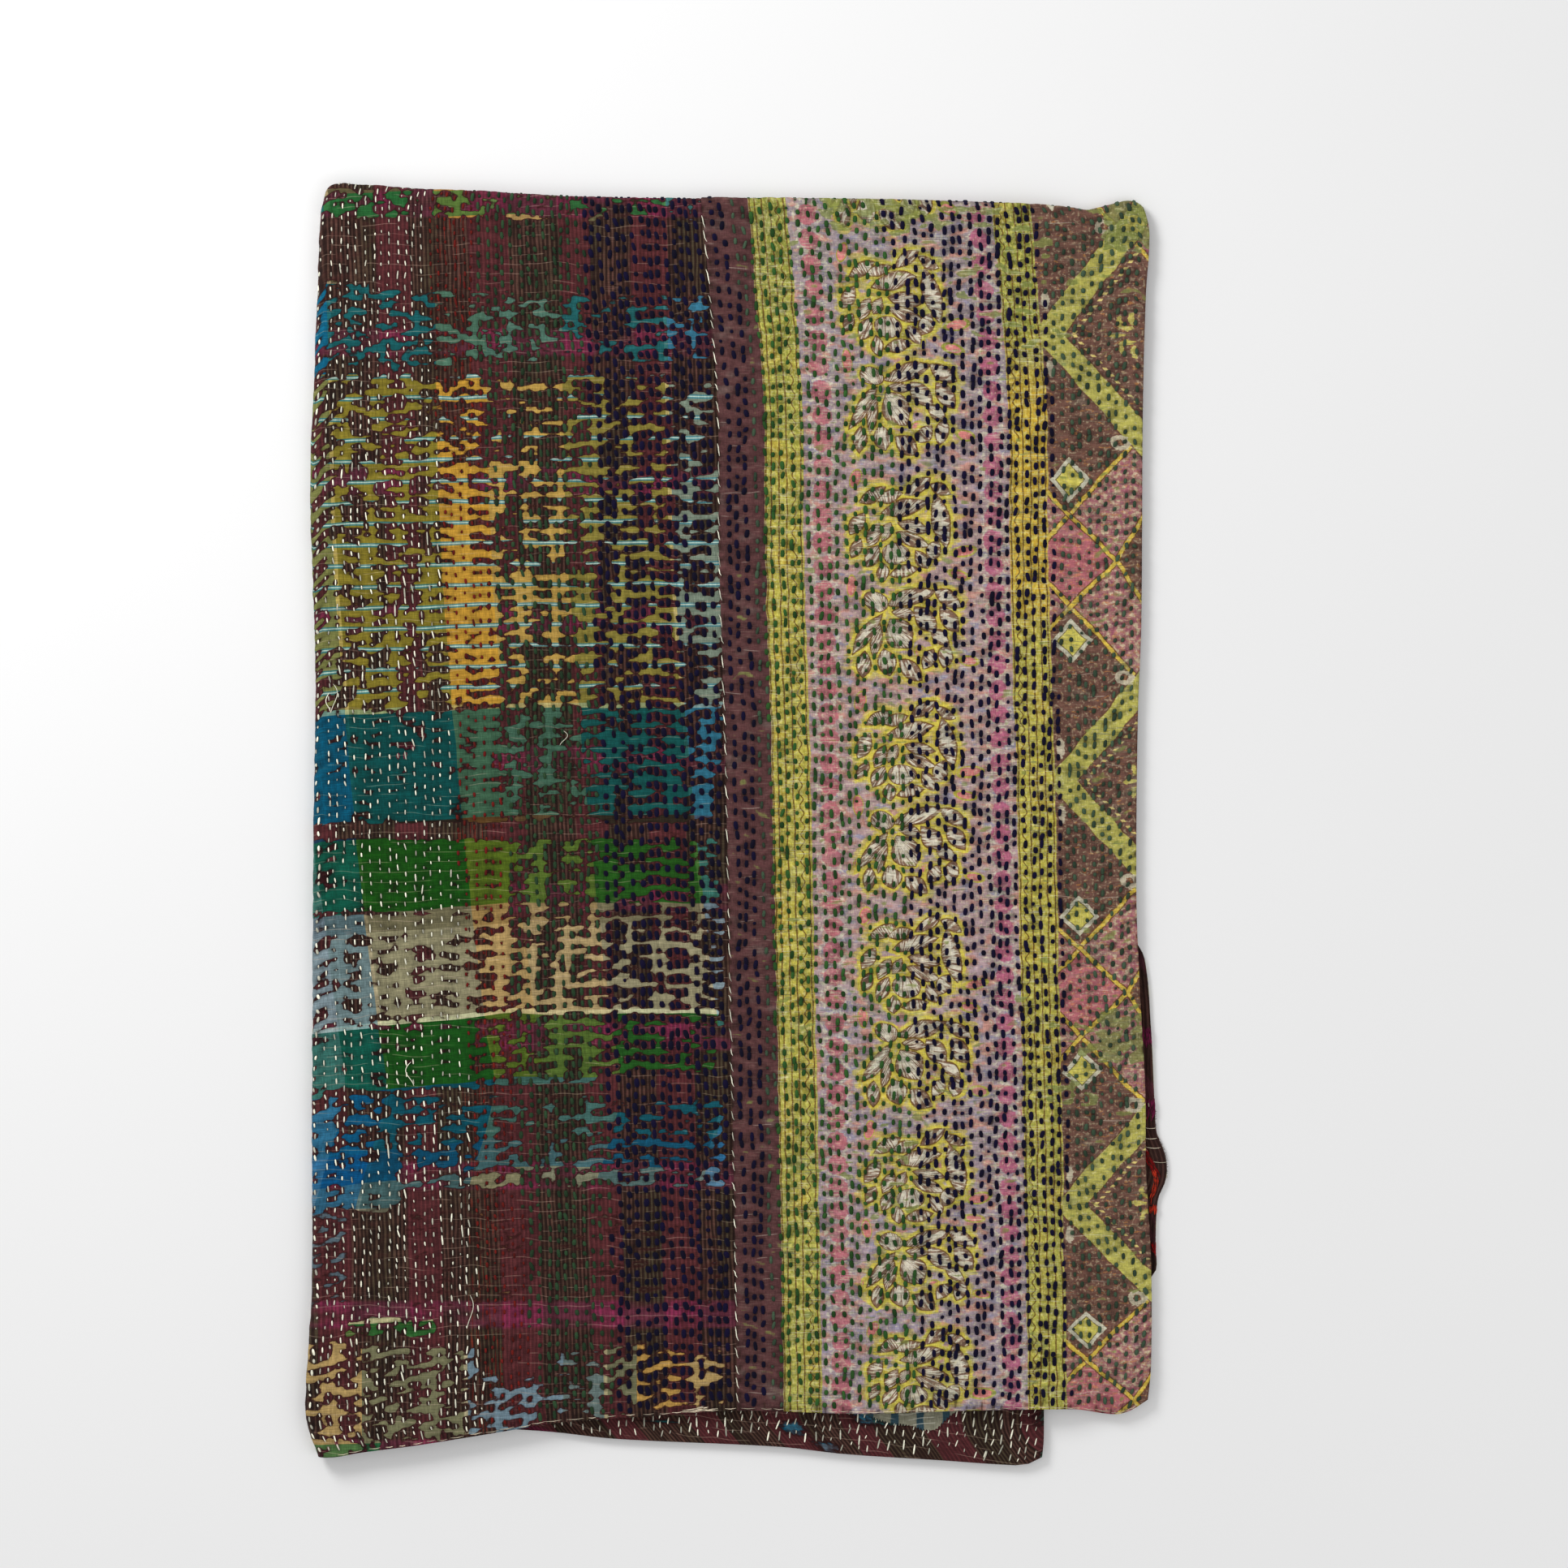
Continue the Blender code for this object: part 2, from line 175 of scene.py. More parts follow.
def folded(across, along, off):
    """Where points of the cloth lie once it is folded, from the corner of the two folds."""
    across, along, off = np.broadcast_arrays(across, along, off)
    upper, over = across >= 0, along >= 0
    run_y, height = turn(along, TOP_ARC, TOP_RADIUS, TOP_SETBACK, off)
    run_x, height = turn(across, SIDE_ARC, SIDE_RADIUS, SIDE_SETBACK, height)
    hem = edge(LOWER_HEM, upper, over, across, SIDE_ARC, run_x, True)
    share = (run_y - TOP_SETBACK) / FLAT_Y
    down = np.where(share > 0, mix(TOP_SETBACK, hem, share), run_y)
    free = edge(SIDE_EDGE, upper, over, along, TOP_ARC, down, False)
    side, seam = read(SIDE_FOLD, down), read(SEAM, down)
    start = side + SIDE_SETBACK
    share_x = (run_x - SIDE_SETBACK) / np.where(upper, FLAT_X["upper"], FLAT_X["lower"])
    before = mix(start, seam, share_x / SEAM_SHARE)
    after = mix(seam, free, (share_x - SEAM_SHARE) / (1 - SEAM_SHARE))
    flat = np.where(upper, np.where(share_x < SEAM_SHARE, before, after), mix(start, free, share_x))
    x = np.where(share_x > 0, flat, side + run_x)
    top = read(TOP_FOLD, x)
    y = np.where(share > 0, mix(top - TOP_SETBACK, -hem, share), top - run_y)
    height = height + MID_HEIGHT
    height = height - np.where(upper, DROOP * smooth((x - DROOP_FROM) / DROOP_OVER), 0)
    return np.stack((x, y, settled(x, y, height)), axis=-1)


def settled(x, y, height):
    """A height in the pile once its long waves have lifted or pressed it."""
    share = 1.0
    for size, long_x, long_y, phase in WAVES:
        share = share + size * np.sin(2 * math.pi * (x / long_x + y / long_y) + phase)
    return height * share


def frame_shift():
    """From the corner of the two folds to the frame's origin."""
    low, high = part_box("quilted_ground")
    down = np.linspace(0, 1.18, 600)
    left = folded(np.zeros(600), TOP_ARC + down * FLAT_Y / 1.18, np.zeros(600) + PLY / 2)
    run = np.linspace(0, FLAT_X["upper"], 600)
    top = folded(SIDE_ARC + run, np.zeros(600), np.zeros(600) + PLY / 2)
    return np.array([low[0] - left[:, 0].min(), high[1] - top[:, 1].max(), 0.0])


SHIFT = frame_shift()


def place(across, along, off):
    """Points of the cloth in the frame."""
    return folded(across, along, off) + SHIFT


# Where the patterns' own corner lies from the corner of the two folds
PATTERN_CORNER = (0.0038, 0.0122)


def top_ply(across, along):
    """Where the top ply's stations lie, carried on past its folds: right, down and past the seam."""
    share_x = (across - SIDE_ARC) / FLAT_X["upper"]
    share_y = (along - TOP_ARC) / FLAT_Y
    hem = read(LOWER_HEM["upper", "over"], SIDE_SETBACK + share_x * FLAT_X["upper"])
    down = mix(TOP_SETBACK, hem, share_y)
    start = read(SIDE_FOLD, down) + SIDE_SETBACK
    seam, free = read(SEAM, down), read(SIDE_EDGE["upper", "over"], down)
    before = mix(start, seam, share_x / SEAM_SHARE)
    after = mix(seam, free, (share_x - SEAM_SHARE) / (1 - SEAM_SHARE))
    x = np.where(share_x < SEAM_SHARE, before, after)
    y = mix(read(TOP_FOLD, x) - TOP_SETBACK, -hem, share_y)
    return (x - PATTERN_CORNER[0]) / MM, (PATTERN_CORNER[1] - y) / MM, (x - seam) / MM


def pattern_places(across, along):
    """Millimetres right of the patterns' corner, below it, and right of the seam."""
    across, along = np.broadcast_arrays(across, along)
    x, y, strip = top_ply(np.abs(across), np.abs(along))
    fold_x = top_ply(np.zeros(across.shape), np.abs(along))[0]
    fold_y = top_ply(np.abs(across), np.zeros(along.shape))[1]
    return np.where(across < 0, 2 * fold_x - x, x), np.where(along < 0, 2 * fold_y - y, y), strip


# How far the under-cloth's columns lean to the right, by the distance below the top fold
UNDER_LEAN = [
    (-40, -6), (0, -6), (320, 0), (492, 12), (624, 24), (682, 30), (787, 43), (850, 50), (958, 22),
    (1072, 14), (1190, 14),
]
# How steeply its rows rise to the right, by the distance below the top fold
UNDER_RISE = [
    (-40, 0.02), (358, 0.02), (488, 0.045), (677, 0.075), (830, 0.11), (930, 0.11), (1060, 0.03),
    (1190, 0.03),
]
RISE_ENDS = 180
PLAID_LEAN = 0.032  # the top cloth's stripes lean this much over a length

# How much of the top cloth is worn away: from and to across, from and to down, share, soft edge
WEAR = [
    (-20, 400, -20, 1200, -0.10, 1),
    (2, 96, 4, 32, 0.50, 6),
    (108, 150, 4, 34, 0.50, 5),
    (150, 245, 6, 34, 0.30, 6),
    (245, 370, 8, 36, 0.25, 6),
    (-10, 50, 92, 172, 0.40, 8),
    (50, 96, 98, 172, 0.34, 8),
    (96, 126, 100, 172, 0.34, 6),
    (126, 187, 100, 165, 0.38, 8),
    (187, 370, 105, 165, 0.32, 8),
    (-10, 100, 176, 250, 0.42, 8),
    (100, 370, 178, 250, 0.32, 8),
    (-10, 114, 250, 300, 0.52, 8),
    (114, 136, 250, 300, 0.56, 6),
    (136, 380, 250, 300, 0.42, 8),
    (-10, 114, 300, 358, 0.56, 8),
    (114, 142, 300, 358, 0.80, 5),
    (142, 233, 300, 358, 0.56, 8),
    (233, 380, 300, 358, 0.46, 8),
    (-10, 115, 358, 434, 0.66, 8),
    (115, 160, 358, 434, 0.90, 6),
    (160, 262, 358, 434, 0.60, 8),
    (262, 380, 358, 434, 0.50, 8),
    (-10, 160, 434, 492, 0.50, 10),
    (160, 262, 434, 492, 0.52, 8),
    (262, 380, 434, 492, 0.40, 8),
    (-10, 128, 492, 550, 0.86, 6),
    (128, 172, 492, 550, 0.84, 6),
    (172, 241, 492, 550, 0.52, 8),
    (241, 380, 492, 550, 0.46, 8),
    (-10, 140, 550, 596, 0.91, 5),
    (140, 172, 550, 596, 0.86, 5),
    (172, 241, 545, 596, 0.56, 8),
    (241, 370, 545, 596, 0.54, 8),
    (-10, 380, 599, 608, -0.05, 3),
    (-10, 28, 612, 680, 0.93, 5),
    (28, 142, 611, 680, 1.00, 3),
    (142, 180, 611, 680, 0.90, 5),
    (180, 250, 611, 680, 0.48, 8),
    (250, 282, 611, 680, 0.74, 6),
    (282, 375, 611, 680, 0.50, 8),
    (-10, 142, 682, 702, 0.99, 3),
    (142, 250, 682, 702, 0.56, 6),
    (250, 380, 682, 702, 0.36, 8),
    (-10, 35, 702, 786, 0.74, 8),
    (35, 142, 702, 786, 0.66, 8),
    (142, 260, 702, 786, 0.52, 8),
    (260, 380, 702, 786, 0.44, 10),
    (-10, 150, 788, 845, 0.93, 8),
    (150, 260, 788, 840, 0.56, 8),
    (260, 372, 788, 830, 0.42, 10),
    (-10, 82, 850, 912, 0.60, 8),
    (82, 190, 852, 912, 0.42, 10),
    (190, 380, 852, 912, 0.28, 10),
    (-10, 80, 905, 958, 0.76, 8),
    (80, 290, 907, 936, 0.48, 7),
    (290, 380, 907, 936, 0.38, 7),
    (80, 380, 958, 1050, 0.0, 8),
    (-10, 28, 960, 1050, 0.16, 8),
    (28, 110, 1057, 1074, 0.62, 5),
    (-10, 28, 1080, 1175, 0.50, 10),
    (28, 150, 1085, 1130, 0.44, 10),
    (28, 150, 1125, 1172, 0.44, 8),
    (150, 215, 1110, 1172, 0.28, 8),
    (215, 380, 1085, 1150, 0.40, 10),
    (-20, 60, 1172, 1200, 0.80, 4),
]


def boxes(table, across, down):
    """A field laid out in boxes with soft edges, the later rows over the earlier ones."""
    field = np.zeros(np.broadcast(across, down).shape)
    for left, right, top, bottom, amount, soft in table:
        inside = smooth((across - left) / soft + 0.5) * smooth((right - across) / soft + 0.5)
        inside = inside * smooth((down - top) / soft + 0.5) * smooth((bottom - down) / soft + 0.5)
        field = mix(field, amount, inside)
    return field


# Green and olive stains of the printed strip, as shares of its cloth, laid out like the wear
STRIP_STAINS = [
    (380, 900, -20, 1200, 0.02, 1),
    (470, 640, 0, 44, 0.42, 16),
    (735, 800, 4, 62, 0.62, 16),
    (590, 700, 44, 160, 0.14, 20),
    (728, 800, 772, 818, 0.66, 12),
    (680, 728, 780, 860, 0.22, 12),
    (468, 560, 860, 960, 0.10, 20),
]

# Where the print's repeats lie: distance below the top fold, and count of repeats
PRINT_RUNS = [(-1140, -5.93), (-20, -0.62), (111, 0.0), (322, 1.0), (529, 2.0), (727, 3.0), (926, 4.0)]
PRINT_RUNS += [(1110, 5.0), (1200, 5.5)]
PRINT_REPEAT = 200

# Stitches: cloth, colour of the thread, up to where across, how that leans, length and width
STITCH_ZONES = [
    ("plaid", "white", 103, 0.050, 5.8, 1.5),
    ("plaid", "rust", 146, 0.051, 5.2, 2.6),
    ("plaid", "green", 250, 0.027, 8.6, 3.8),
    ("plaid", "indigo", 420, 0.0, 10.4, 5.4),
    ("strip", "indigo", 27, 0.0, 10.0, 4.6),
    ("strip", "grey", 40, 0.0, 8.0, 3.4),
    ("strip", "leaf", 167, 0.0, 8.6, 3.9),
    ("strip", "indigo", 312, 0.0, 9.2, 4.3),
    ("strip", "grey", 420, 0.0, 7.4, 3.9),
]
ROW_PITCH = 8.2
LONGEST_STITCH = 10.8
FAINT_SHARE = 0.22
LONGER_SHARE = 0.34
# Up to where across, from one stitch of a row to the next, and how loosely the rows keep level
STITCH_PITCHES = [(104, 10.0, 1.6), (252, 10.8, 1.0), (SEAM_AT / MM, 12.4, 1.0), (2000, 12.4, 2.2)]
STITCH_COLOURS = {
    "white": (0.96, 0.95, 0.86),
    "rust": (0.40, 0.11, 0.09),
    "green": (0.17, 0.26, 0.17),
    "indigo": (0.06, 0.03, 0.16),
    "leaf": (0.18, 0.32, 0.15),
    "grey": (0.24, 0.31, 0.24),
    "red": (0.52, 0.05, 0.06),
    "cream": (0.88, 0.82, 0.72),
    "magenta": (0.40, 0.10, 0.24),
    "orange": (0.70, 0.20, 0.12),
    "dark": (0.20, 0.15, 0.13),
}


class Stitches:
    """Running stitches in rows along the cloth, on a stretch of stations in millimetres."""

    def __init__(self, seed, left, right, top, bottom):
        rng = np.random.default_rng(seed)
        rows = int((right - left) / ROW_PITCH)
        across, along = [], []
        wander = 0.0
        for row in range(rows):
            x = left + (row + 0.5) * (right - left) / rows
            pitch, loose = next(row[1:] for row in STITCH_PITCHES if x < row[0])
            wander = 0.8 * wander + rng.normal(0, 1.2) * loose
            y = top + wander + rng.normal(0, 1.5) + np.arange(0, bottom - top, pitch)
            y = y + 3.2 * np.sin(x / 41 + y / 150) + 2.0 * np.sin(x / 19 - y / 83)
            sway = 1.1 * np.sin(y / 61 + row * 1.7) + 0.8 * np.sin(y / 23 + row * 0.6)
            across.append(x + sway + rng.normal(0, 0.4, len(y)))
            along.append(y + rng.normal(0, 0.9, len(y)) * loose)
        self.across, self.along = np.concatenate(across), np.concatenate(along)
        total = len(self.across)
        u, v, strip = top_ply(np.abs(self.across) * MM, np.abs(self.along) * MM)
        self.zone = np.full(total, -1)
        for index, (cloth, _, reach, lean, _, _) in reversed(list(enumerate(STITCH_ZONES))):
            on_strip = cloth == "strip"
            place_at = strip if on_strip else u - lean * (v - 54)
            self.zone[((strip > 0) == on_strip) & (place_at < reach)] = index
        sizes = np.array([zone[4:] for zone in STITCH_ZONES])
        vary = rng.uniform(0.62, 1.2, total)
        vary[rng.random(total) < 0.07] *= 0.5
        vary[rng.random(total) < 0.05] *= 1.5
        self.length = sizes[self.zone, 0] * vary
        self.width = sizes[self.zone, 1] * rng.uniform(0.85, 1.15, total) * np.minimum(1, 0.4 + vary)
        self.length = np.minimum(self.length, LONGEST_STITCH)
        faint = (self.zone == 0) & (rng.random(total) < FAINT_SHARE)
        self.length[faint] *= 0.55
        self.width[faint] *= 0.7
        longer = (u > 60) & (u < 205) & (v > 330) & (rng.random(total) < LONGER_SHARE)
        longer &= (v < 500) | (v > 850)
        self.length[longer & (self.zone == 0)] *= 1.6
        self.lean = rng.normal(0.09, 0.10, total)
        self.lean[strip > 0] = rng.normal(-0.03, 0.12, np.count_nonzero(strip > 0))

    def spread(self, across, along, wide, long):
        """The stitches' closeness summed over a grid of stations, each reaching wide and long."""
        field = np.zeros((len(across), len(along)), np.float32)
        for x, y, size in zip(self.across, self.along, self.length):
            i0, i1 = np.searchsorted(across, (x - 2.2 * wide, x + 2.2 * wide))
            j0, j1 = np.searchsorted(along, (y - 2.2 * long - size / 3, y + 2.2 * long + size / 3))
            if i1 <= i0 or j1 <= j0:
                continue
            dx = (across[i0:i1] - x)[:, None] / wide
            dy = np.maximum(np.abs(along[j0:j1] - y) - size * 0.25, 0)[None, :] / long
            field[i0:i1, j0:j1] += np.exp(-(dx * dx + dy * dy))
        return field


def soft_noise(rng, across, down, wide, tall):
    """Smooth random levels from 0 to 1 on a grid of places, with spots of the size given."""
    columns = np.arange(math.floor(across.min() / wide) - 1, across.max() / wide + 3)
    rows = np.arange(math.floor(down.min() / tall) - 1, down.max() / tall + 3)
    levels = rng.random((len(columns), len(rows)))
    x, y = across / wide - columns[0], down / tall - rows[0]
    i, j = x.astype(int), y.astype(int)
    share_x, share_y = smooth(x - i), smooth(y - j)
    near = mix(levels[i, j], levels[i + 1, j], share_x)
    return mix(near, mix(levels[i, j + 1], levels[i + 1, j + 1], share_x), share_y)


def ranked(field):
    """The same field with its levels spread evenly from 0 to 1."""
    order = np.empty(field.size)
    order[np.argsort(field, axis=None)] = np.linspace(0, 1, field.size)
    return order.reshape(field.shape)


# Meshes


def link(name, verts, *faces):
    """A smooth mesh of points and arrays of faces, each array with its own count of corners."""
    mesh = bpy.data.meshes.new(name)
    verts = np.ascontiguousarray(verts, np.float32).reshape(-1, 3)
    loops = np.concatenate([part.ravel() for part in faces]).astype(np.int32)
    sizes = np.concatenate([np.full(len(part), part.shape[1]) for part in faces])
    starts = np.concatenate(([0], np.cumsum(sizes)[:-1])).astype(np.int32)
    mesh.vertices.add(len(verts))
    mesh.vertices.foreach_set("co", verts.ravel())
    mesh.loops.add(len(loops))
    mesh.loops.foreach_set("vertex_index", loops)
    mesh.polygons.add(len(sizes))
    mesh.polygons.foreach_set("loop_start", starts)
    mesh.polygons.foreach_set("use_smooth", np.full(len(sizes), True))
    mesh.update(calc_edges=True)
    piece = bpy.data.objects.new(name, mesh)
    bpy.context.scene.collection.objects.link(piece)
    return piece


def attribute(piece, name, values):
    values = np.ascontiguousarray(values, np.float32)
    kind = "FLOAT" if values.ndim == 1 else "FLOAT_VECTOR"
    made = piece.data.attributes.new(name, kind, "POINT")
    made.data.foreach_set("value" if values.ndim == 1 else "vector", values.ravel())


def quads(rows, columns, start=0, flip=False):
    i, j = np.meshgrid(np.arange(rows - 1), np.arange(columns - 1), indexing="ij")
    a = start + i * columns + j
    ring = (a, a + columns, a + columns + 1, a + 1)
    if flip:
        ring = ring[::-1]
    return np.stack(ring, axis=-1).reshape(-1, 4)


def rim(rows, columns, flip=False):
    """Quads between the edges of two grids of the same size, the second after the first."""
    top = np.arange(columns)
    right = np.arange(1, rows) * columns + columns - 1
    bottom = (rows - 1) * columns + np.arange(columns - 2, -1, -1)
    left = np.arange(rows - 2, 0, -1) * columns
    ring = np.concatenate((top, right, bottom, left))
    after = np.roll(ring, -1)
    shift = rows * columns
    sides = (ring, after, after + shift, ring + shift)
    if flip:
        sides = sides[::-1]
    return np.stack(sides, axis=-1)


def shell_faces(rows, columns):
    """The faces of a closed sheet between two grids, the second after the first."""
    upper = quads(rows, columns, rows * columns, flip=True)
    return np.concatenate((quads(rows, columns), upper, rim(rows, columns, flip=True)))


def cloth_attributes(piece, across, along, bare, hold, ridge_shade):
    """The fields that the cloth's materials read, on a grid of stations in metres."""
    x, y, strip = pattern_places(across, along)
    down = np.abs(y)
    none = np.zeros_like(x)
    rise = read(UNDER_RISE, down) * np.clip(x, -RISE_ENDS, RISE_ENDS)
    grain = np.stack((x - PLAID_LEAN * down, y, none), axis=-1)
    under = np.stack((x - read(UNDER_LEAN, down), y + np.where(y < 0, -rise, rise), none), axis=-1)
    printed = np.stack((strip, read(PRINT_RUNS, y) * PRINT_REPEAT, none), axis=-1)
    attribute(piece, "grain", grain.reshape(-1, 3))
    attribute(piece, "under", under.reshape(-1, 3))
    attribute(piece, "printed", printed.reshape(-1, 3))
    # The ridge field, high on the puffs and low in the furrows, is used only to paint light and shade
    # on the quilting
    for name, field in (("bare", bare), ("hold", hold), ("ridge_shade", ridge_shade)):
        attribute(piece, name, np.broadcast_to(field, x.shape).ravel())


def bumps(across, down, seed):
    """Soft unevenness of the quilting, in metres, for grids of stations in millimetres."""
    rng = np.random.default_rng(seed)
    field = np.zeros(np.broadcast(across, down).shape)
    for _ in range(14):
        long = rng.uniform(22, 90)
        angle = rng.uniform(-0.5, 0.5) + math.pi / 2
        wave = (across * math.cos(angle) + down * math.sin(angle)) * 2 * math.pi / long
        field += np.sin(wave + rng.uniform(0, 6.28)) * 0.00006
    return field


# How high the cloth puffs, how deep its furrows and its stitches draw it, and the least height
PUFF = 0.00050
FURROW_DEPTH = 0.00044
HOLD_DEPTH = 0.00062
LEAST_HEIGHT = 0.0002
# The turned edge of a face: how far out and how far down
ROLL = [(0.0000, 0.00000), (0.0006, -0.00012), (0.0011, -0.00050), (0.0012, -0.0010), (0.0006, -0.0020)]


def fine_face(name, across_flat, along_flat, off, stitches, roll_across, seed, marks):
    """A finely meshed face of the top ply with turned edges, quilted by its stitches."""
    across = [(v, 0.0) for v in across_flat]
    for end in roll_across:
        if end > 0:
            across += [(across_flat[-1] + out, drop) for out, drop in ROLL[1:]]
        else:
            across = [(across_flat[0] - out, drop) for out, drop in reversed(ROLL[1:])] + across
    along = [(v, 0.0) for v in along_flat]
    along += [(along_flat[-1] + out, drop) for out, drop in ROLL[1:]]
    u, drop_u = np.array(across).T
    v, drop_v = np.array(along).T
    hold = np.minimum(stitches.spread(u / MM, v / MM, 2.6, 2.6), 1)
    furrow = ranked(stitches.spread(u / MM, v / MM, 5.4, 3.2))
    grid_u, grid_v = np.meshgrid(u, v, indexing="ij")
    x, y, _ = pattern_places(grid_u, grid_v)
    rng = np.random.default_rng(seed)
    long_spots = ranked(soft_noise(rng, x, y, 20, 8))
    small_spots = soft_noise(rng, x, y, 5.4, 3.0)
    runs = smooth((long_spots - 0.5) * 3.4 + 0.5)
    rank = ranked(0.66 * furrow + 0.08 * hold + 0.22 * runs + 0.17 * small_spots)
    level = off + np.minimum(drop_u[:, None], drop_v[None, :])
    edge_free = smooth(np.minimum(1, (HEM_AT - grid_v) / 0.006))
    relief = (PUFF - FURROW_DEPTH * furrow - HOLD_DEPTH * hold) * edge_free + bumps(x, y, seed)
    points = place(grid_u, grid_v, level + relief)
    points[..., 2] = np.maximum(points[..., 2], LEAST_HEIGHT)
    piece = link(name, points, quads(len(u), len(v), flip=True))
    cloth_attributes(piece, grid_u, grid_v, rank - boxes(marks, x, y), hold, 1 - furrow)
    return piece


def closed_sheet(name, across, along, back, face, bare):
    """A closed sheet of cloth; back and face are grids of heights or single heights."""
    grid_u, grid_v = np.meshgrid(across, along, indexing="ij")
    lower = place(grid_u, grid_v, back)
    upper = place(grid_u, grid_v, face)
    rows, columns = grid_u.shape
    points = np.concatenate((lower.reshape(-1, 3), upper.reshape(-1, 3)))
    piece = link(name, points, shell_faces(rows, columns))
    both_u, both_v = (np.concatenate((g.ravel(), g.ravel())) for g in (grid_u, grid_v))
    cloth_attributes(piece, both_u, both_v, bare, 0.25, 0.5)
    return piece


def stations(low, high, step):
    return np.linspace(low, high, max(2, int(round((high - low) / step)) + 1))


# A stitch's rings: place along it, size, and how deep it lies; and the outline of a ring
STITCH_RINGS = [
    (-1.0, 0.0, 0.55),
    (-0.66, 0.80, 0.10),
    (0.0, 1.0, 0.0),
    (0.66, 0.80, 0.10),
    (1.0, 0.0, 0.55),
]
STITCH_SECTION = [(-1.0, 0.0), (-0.5, 0.55), (0.5, 0.55), (1.0, 0.0), (0.0, -0.6)]


def stitch_mesh(name, across, along, length, width, lean, off):
    """Small grains of thread, in one mesh: three rings of points and two tips each."""
    half_wide, half_long = width / 2 * MM, length / 2 * MM
    rings = []
    for at, reach, drop in STITCH_RINGS:
        for side, up in STITCH_SECTION if reach else [(0, 0)]:
            s = across * MM + lean * at * half_long + side * reach * half_wide
            t = along * MM + at * half_long
            rings.append((s, t, off + (up * reach - drop) * half_wide))
    s, t, h = (np.stack(part, axis=1) for part in zip(*rings))
    points = place(s, t, h).reshape(-1, 3)
    points[:, 2] = np.maximum(points[:, 2], 0.0)
    size = len(STITCH_SECTION)
    tip = 1 + 3 * size
    faces = []
    for corner in range(size):
        after = (corner + 1) % size
        faces.append((0, 1 + after, 1 + corner, 1 + corner))
        for ring in (1, 1 + size):
            faces.append((ring + corner, ring + after, ring + size + after, ring + size + corner))
        faces.append((1 + 2 * size + corner, 1 + 2 * size + after, tip, tip))
    steps = (tip + 1) * np.arange(len(across))
    every = (np.array(faces)[None] + steps[:, None, None]).reshape(-1, 4)
    tips = every[:, 2] == every[:, 3]
    return link(name, points, every[~tips], every[tips][:, :3])


def thread_mesh(name, routes, radius, sides):
    """Thin threads along routes of (across, along, off) in metres, in one mesh."""
    points, faces = [], []
    for route in routes:
        route = np.array(route)
        spine = place(route[:, 0], route[:, 1], route[:, 2])
        ahead = np.gradient(spine, axis=0)
        ahead /= np.linalg.norm(ahead, axis=1)[:, None] + 1e-9
        side = np.cross(ahead, (0, 0, 1.0))
        side /= np.linalg.norm(side, axis=1)[:, None] + 1e-9
        up = np.cross(side, ahead)
        first = len(points)
        for k, p in enumerate(spine):
            thin = radius * (0.35 if k in (0, len(spine) - 1) else 1)
            for turn_at in range(sides):
                angle = 2 * math.pi * turn_at / sides
                points.append(p + thin * (math.cos(angle) * side[k] + math.sin(angle) * up[k]))
        for k in range(len(spine) - 1):
            for turn_at in range(sides):
                after = (turn_at + 1) % sides
                a = first + k * sides
                faces.append((a + turn_at, a + after, a + sides + after, a + sides + turn_at))
    return link(name, np.array(points), np.array(faces))


# Materials: the painting is mixed in display values and turned to light at the end

DISPLAY_GAMMA = 2.2


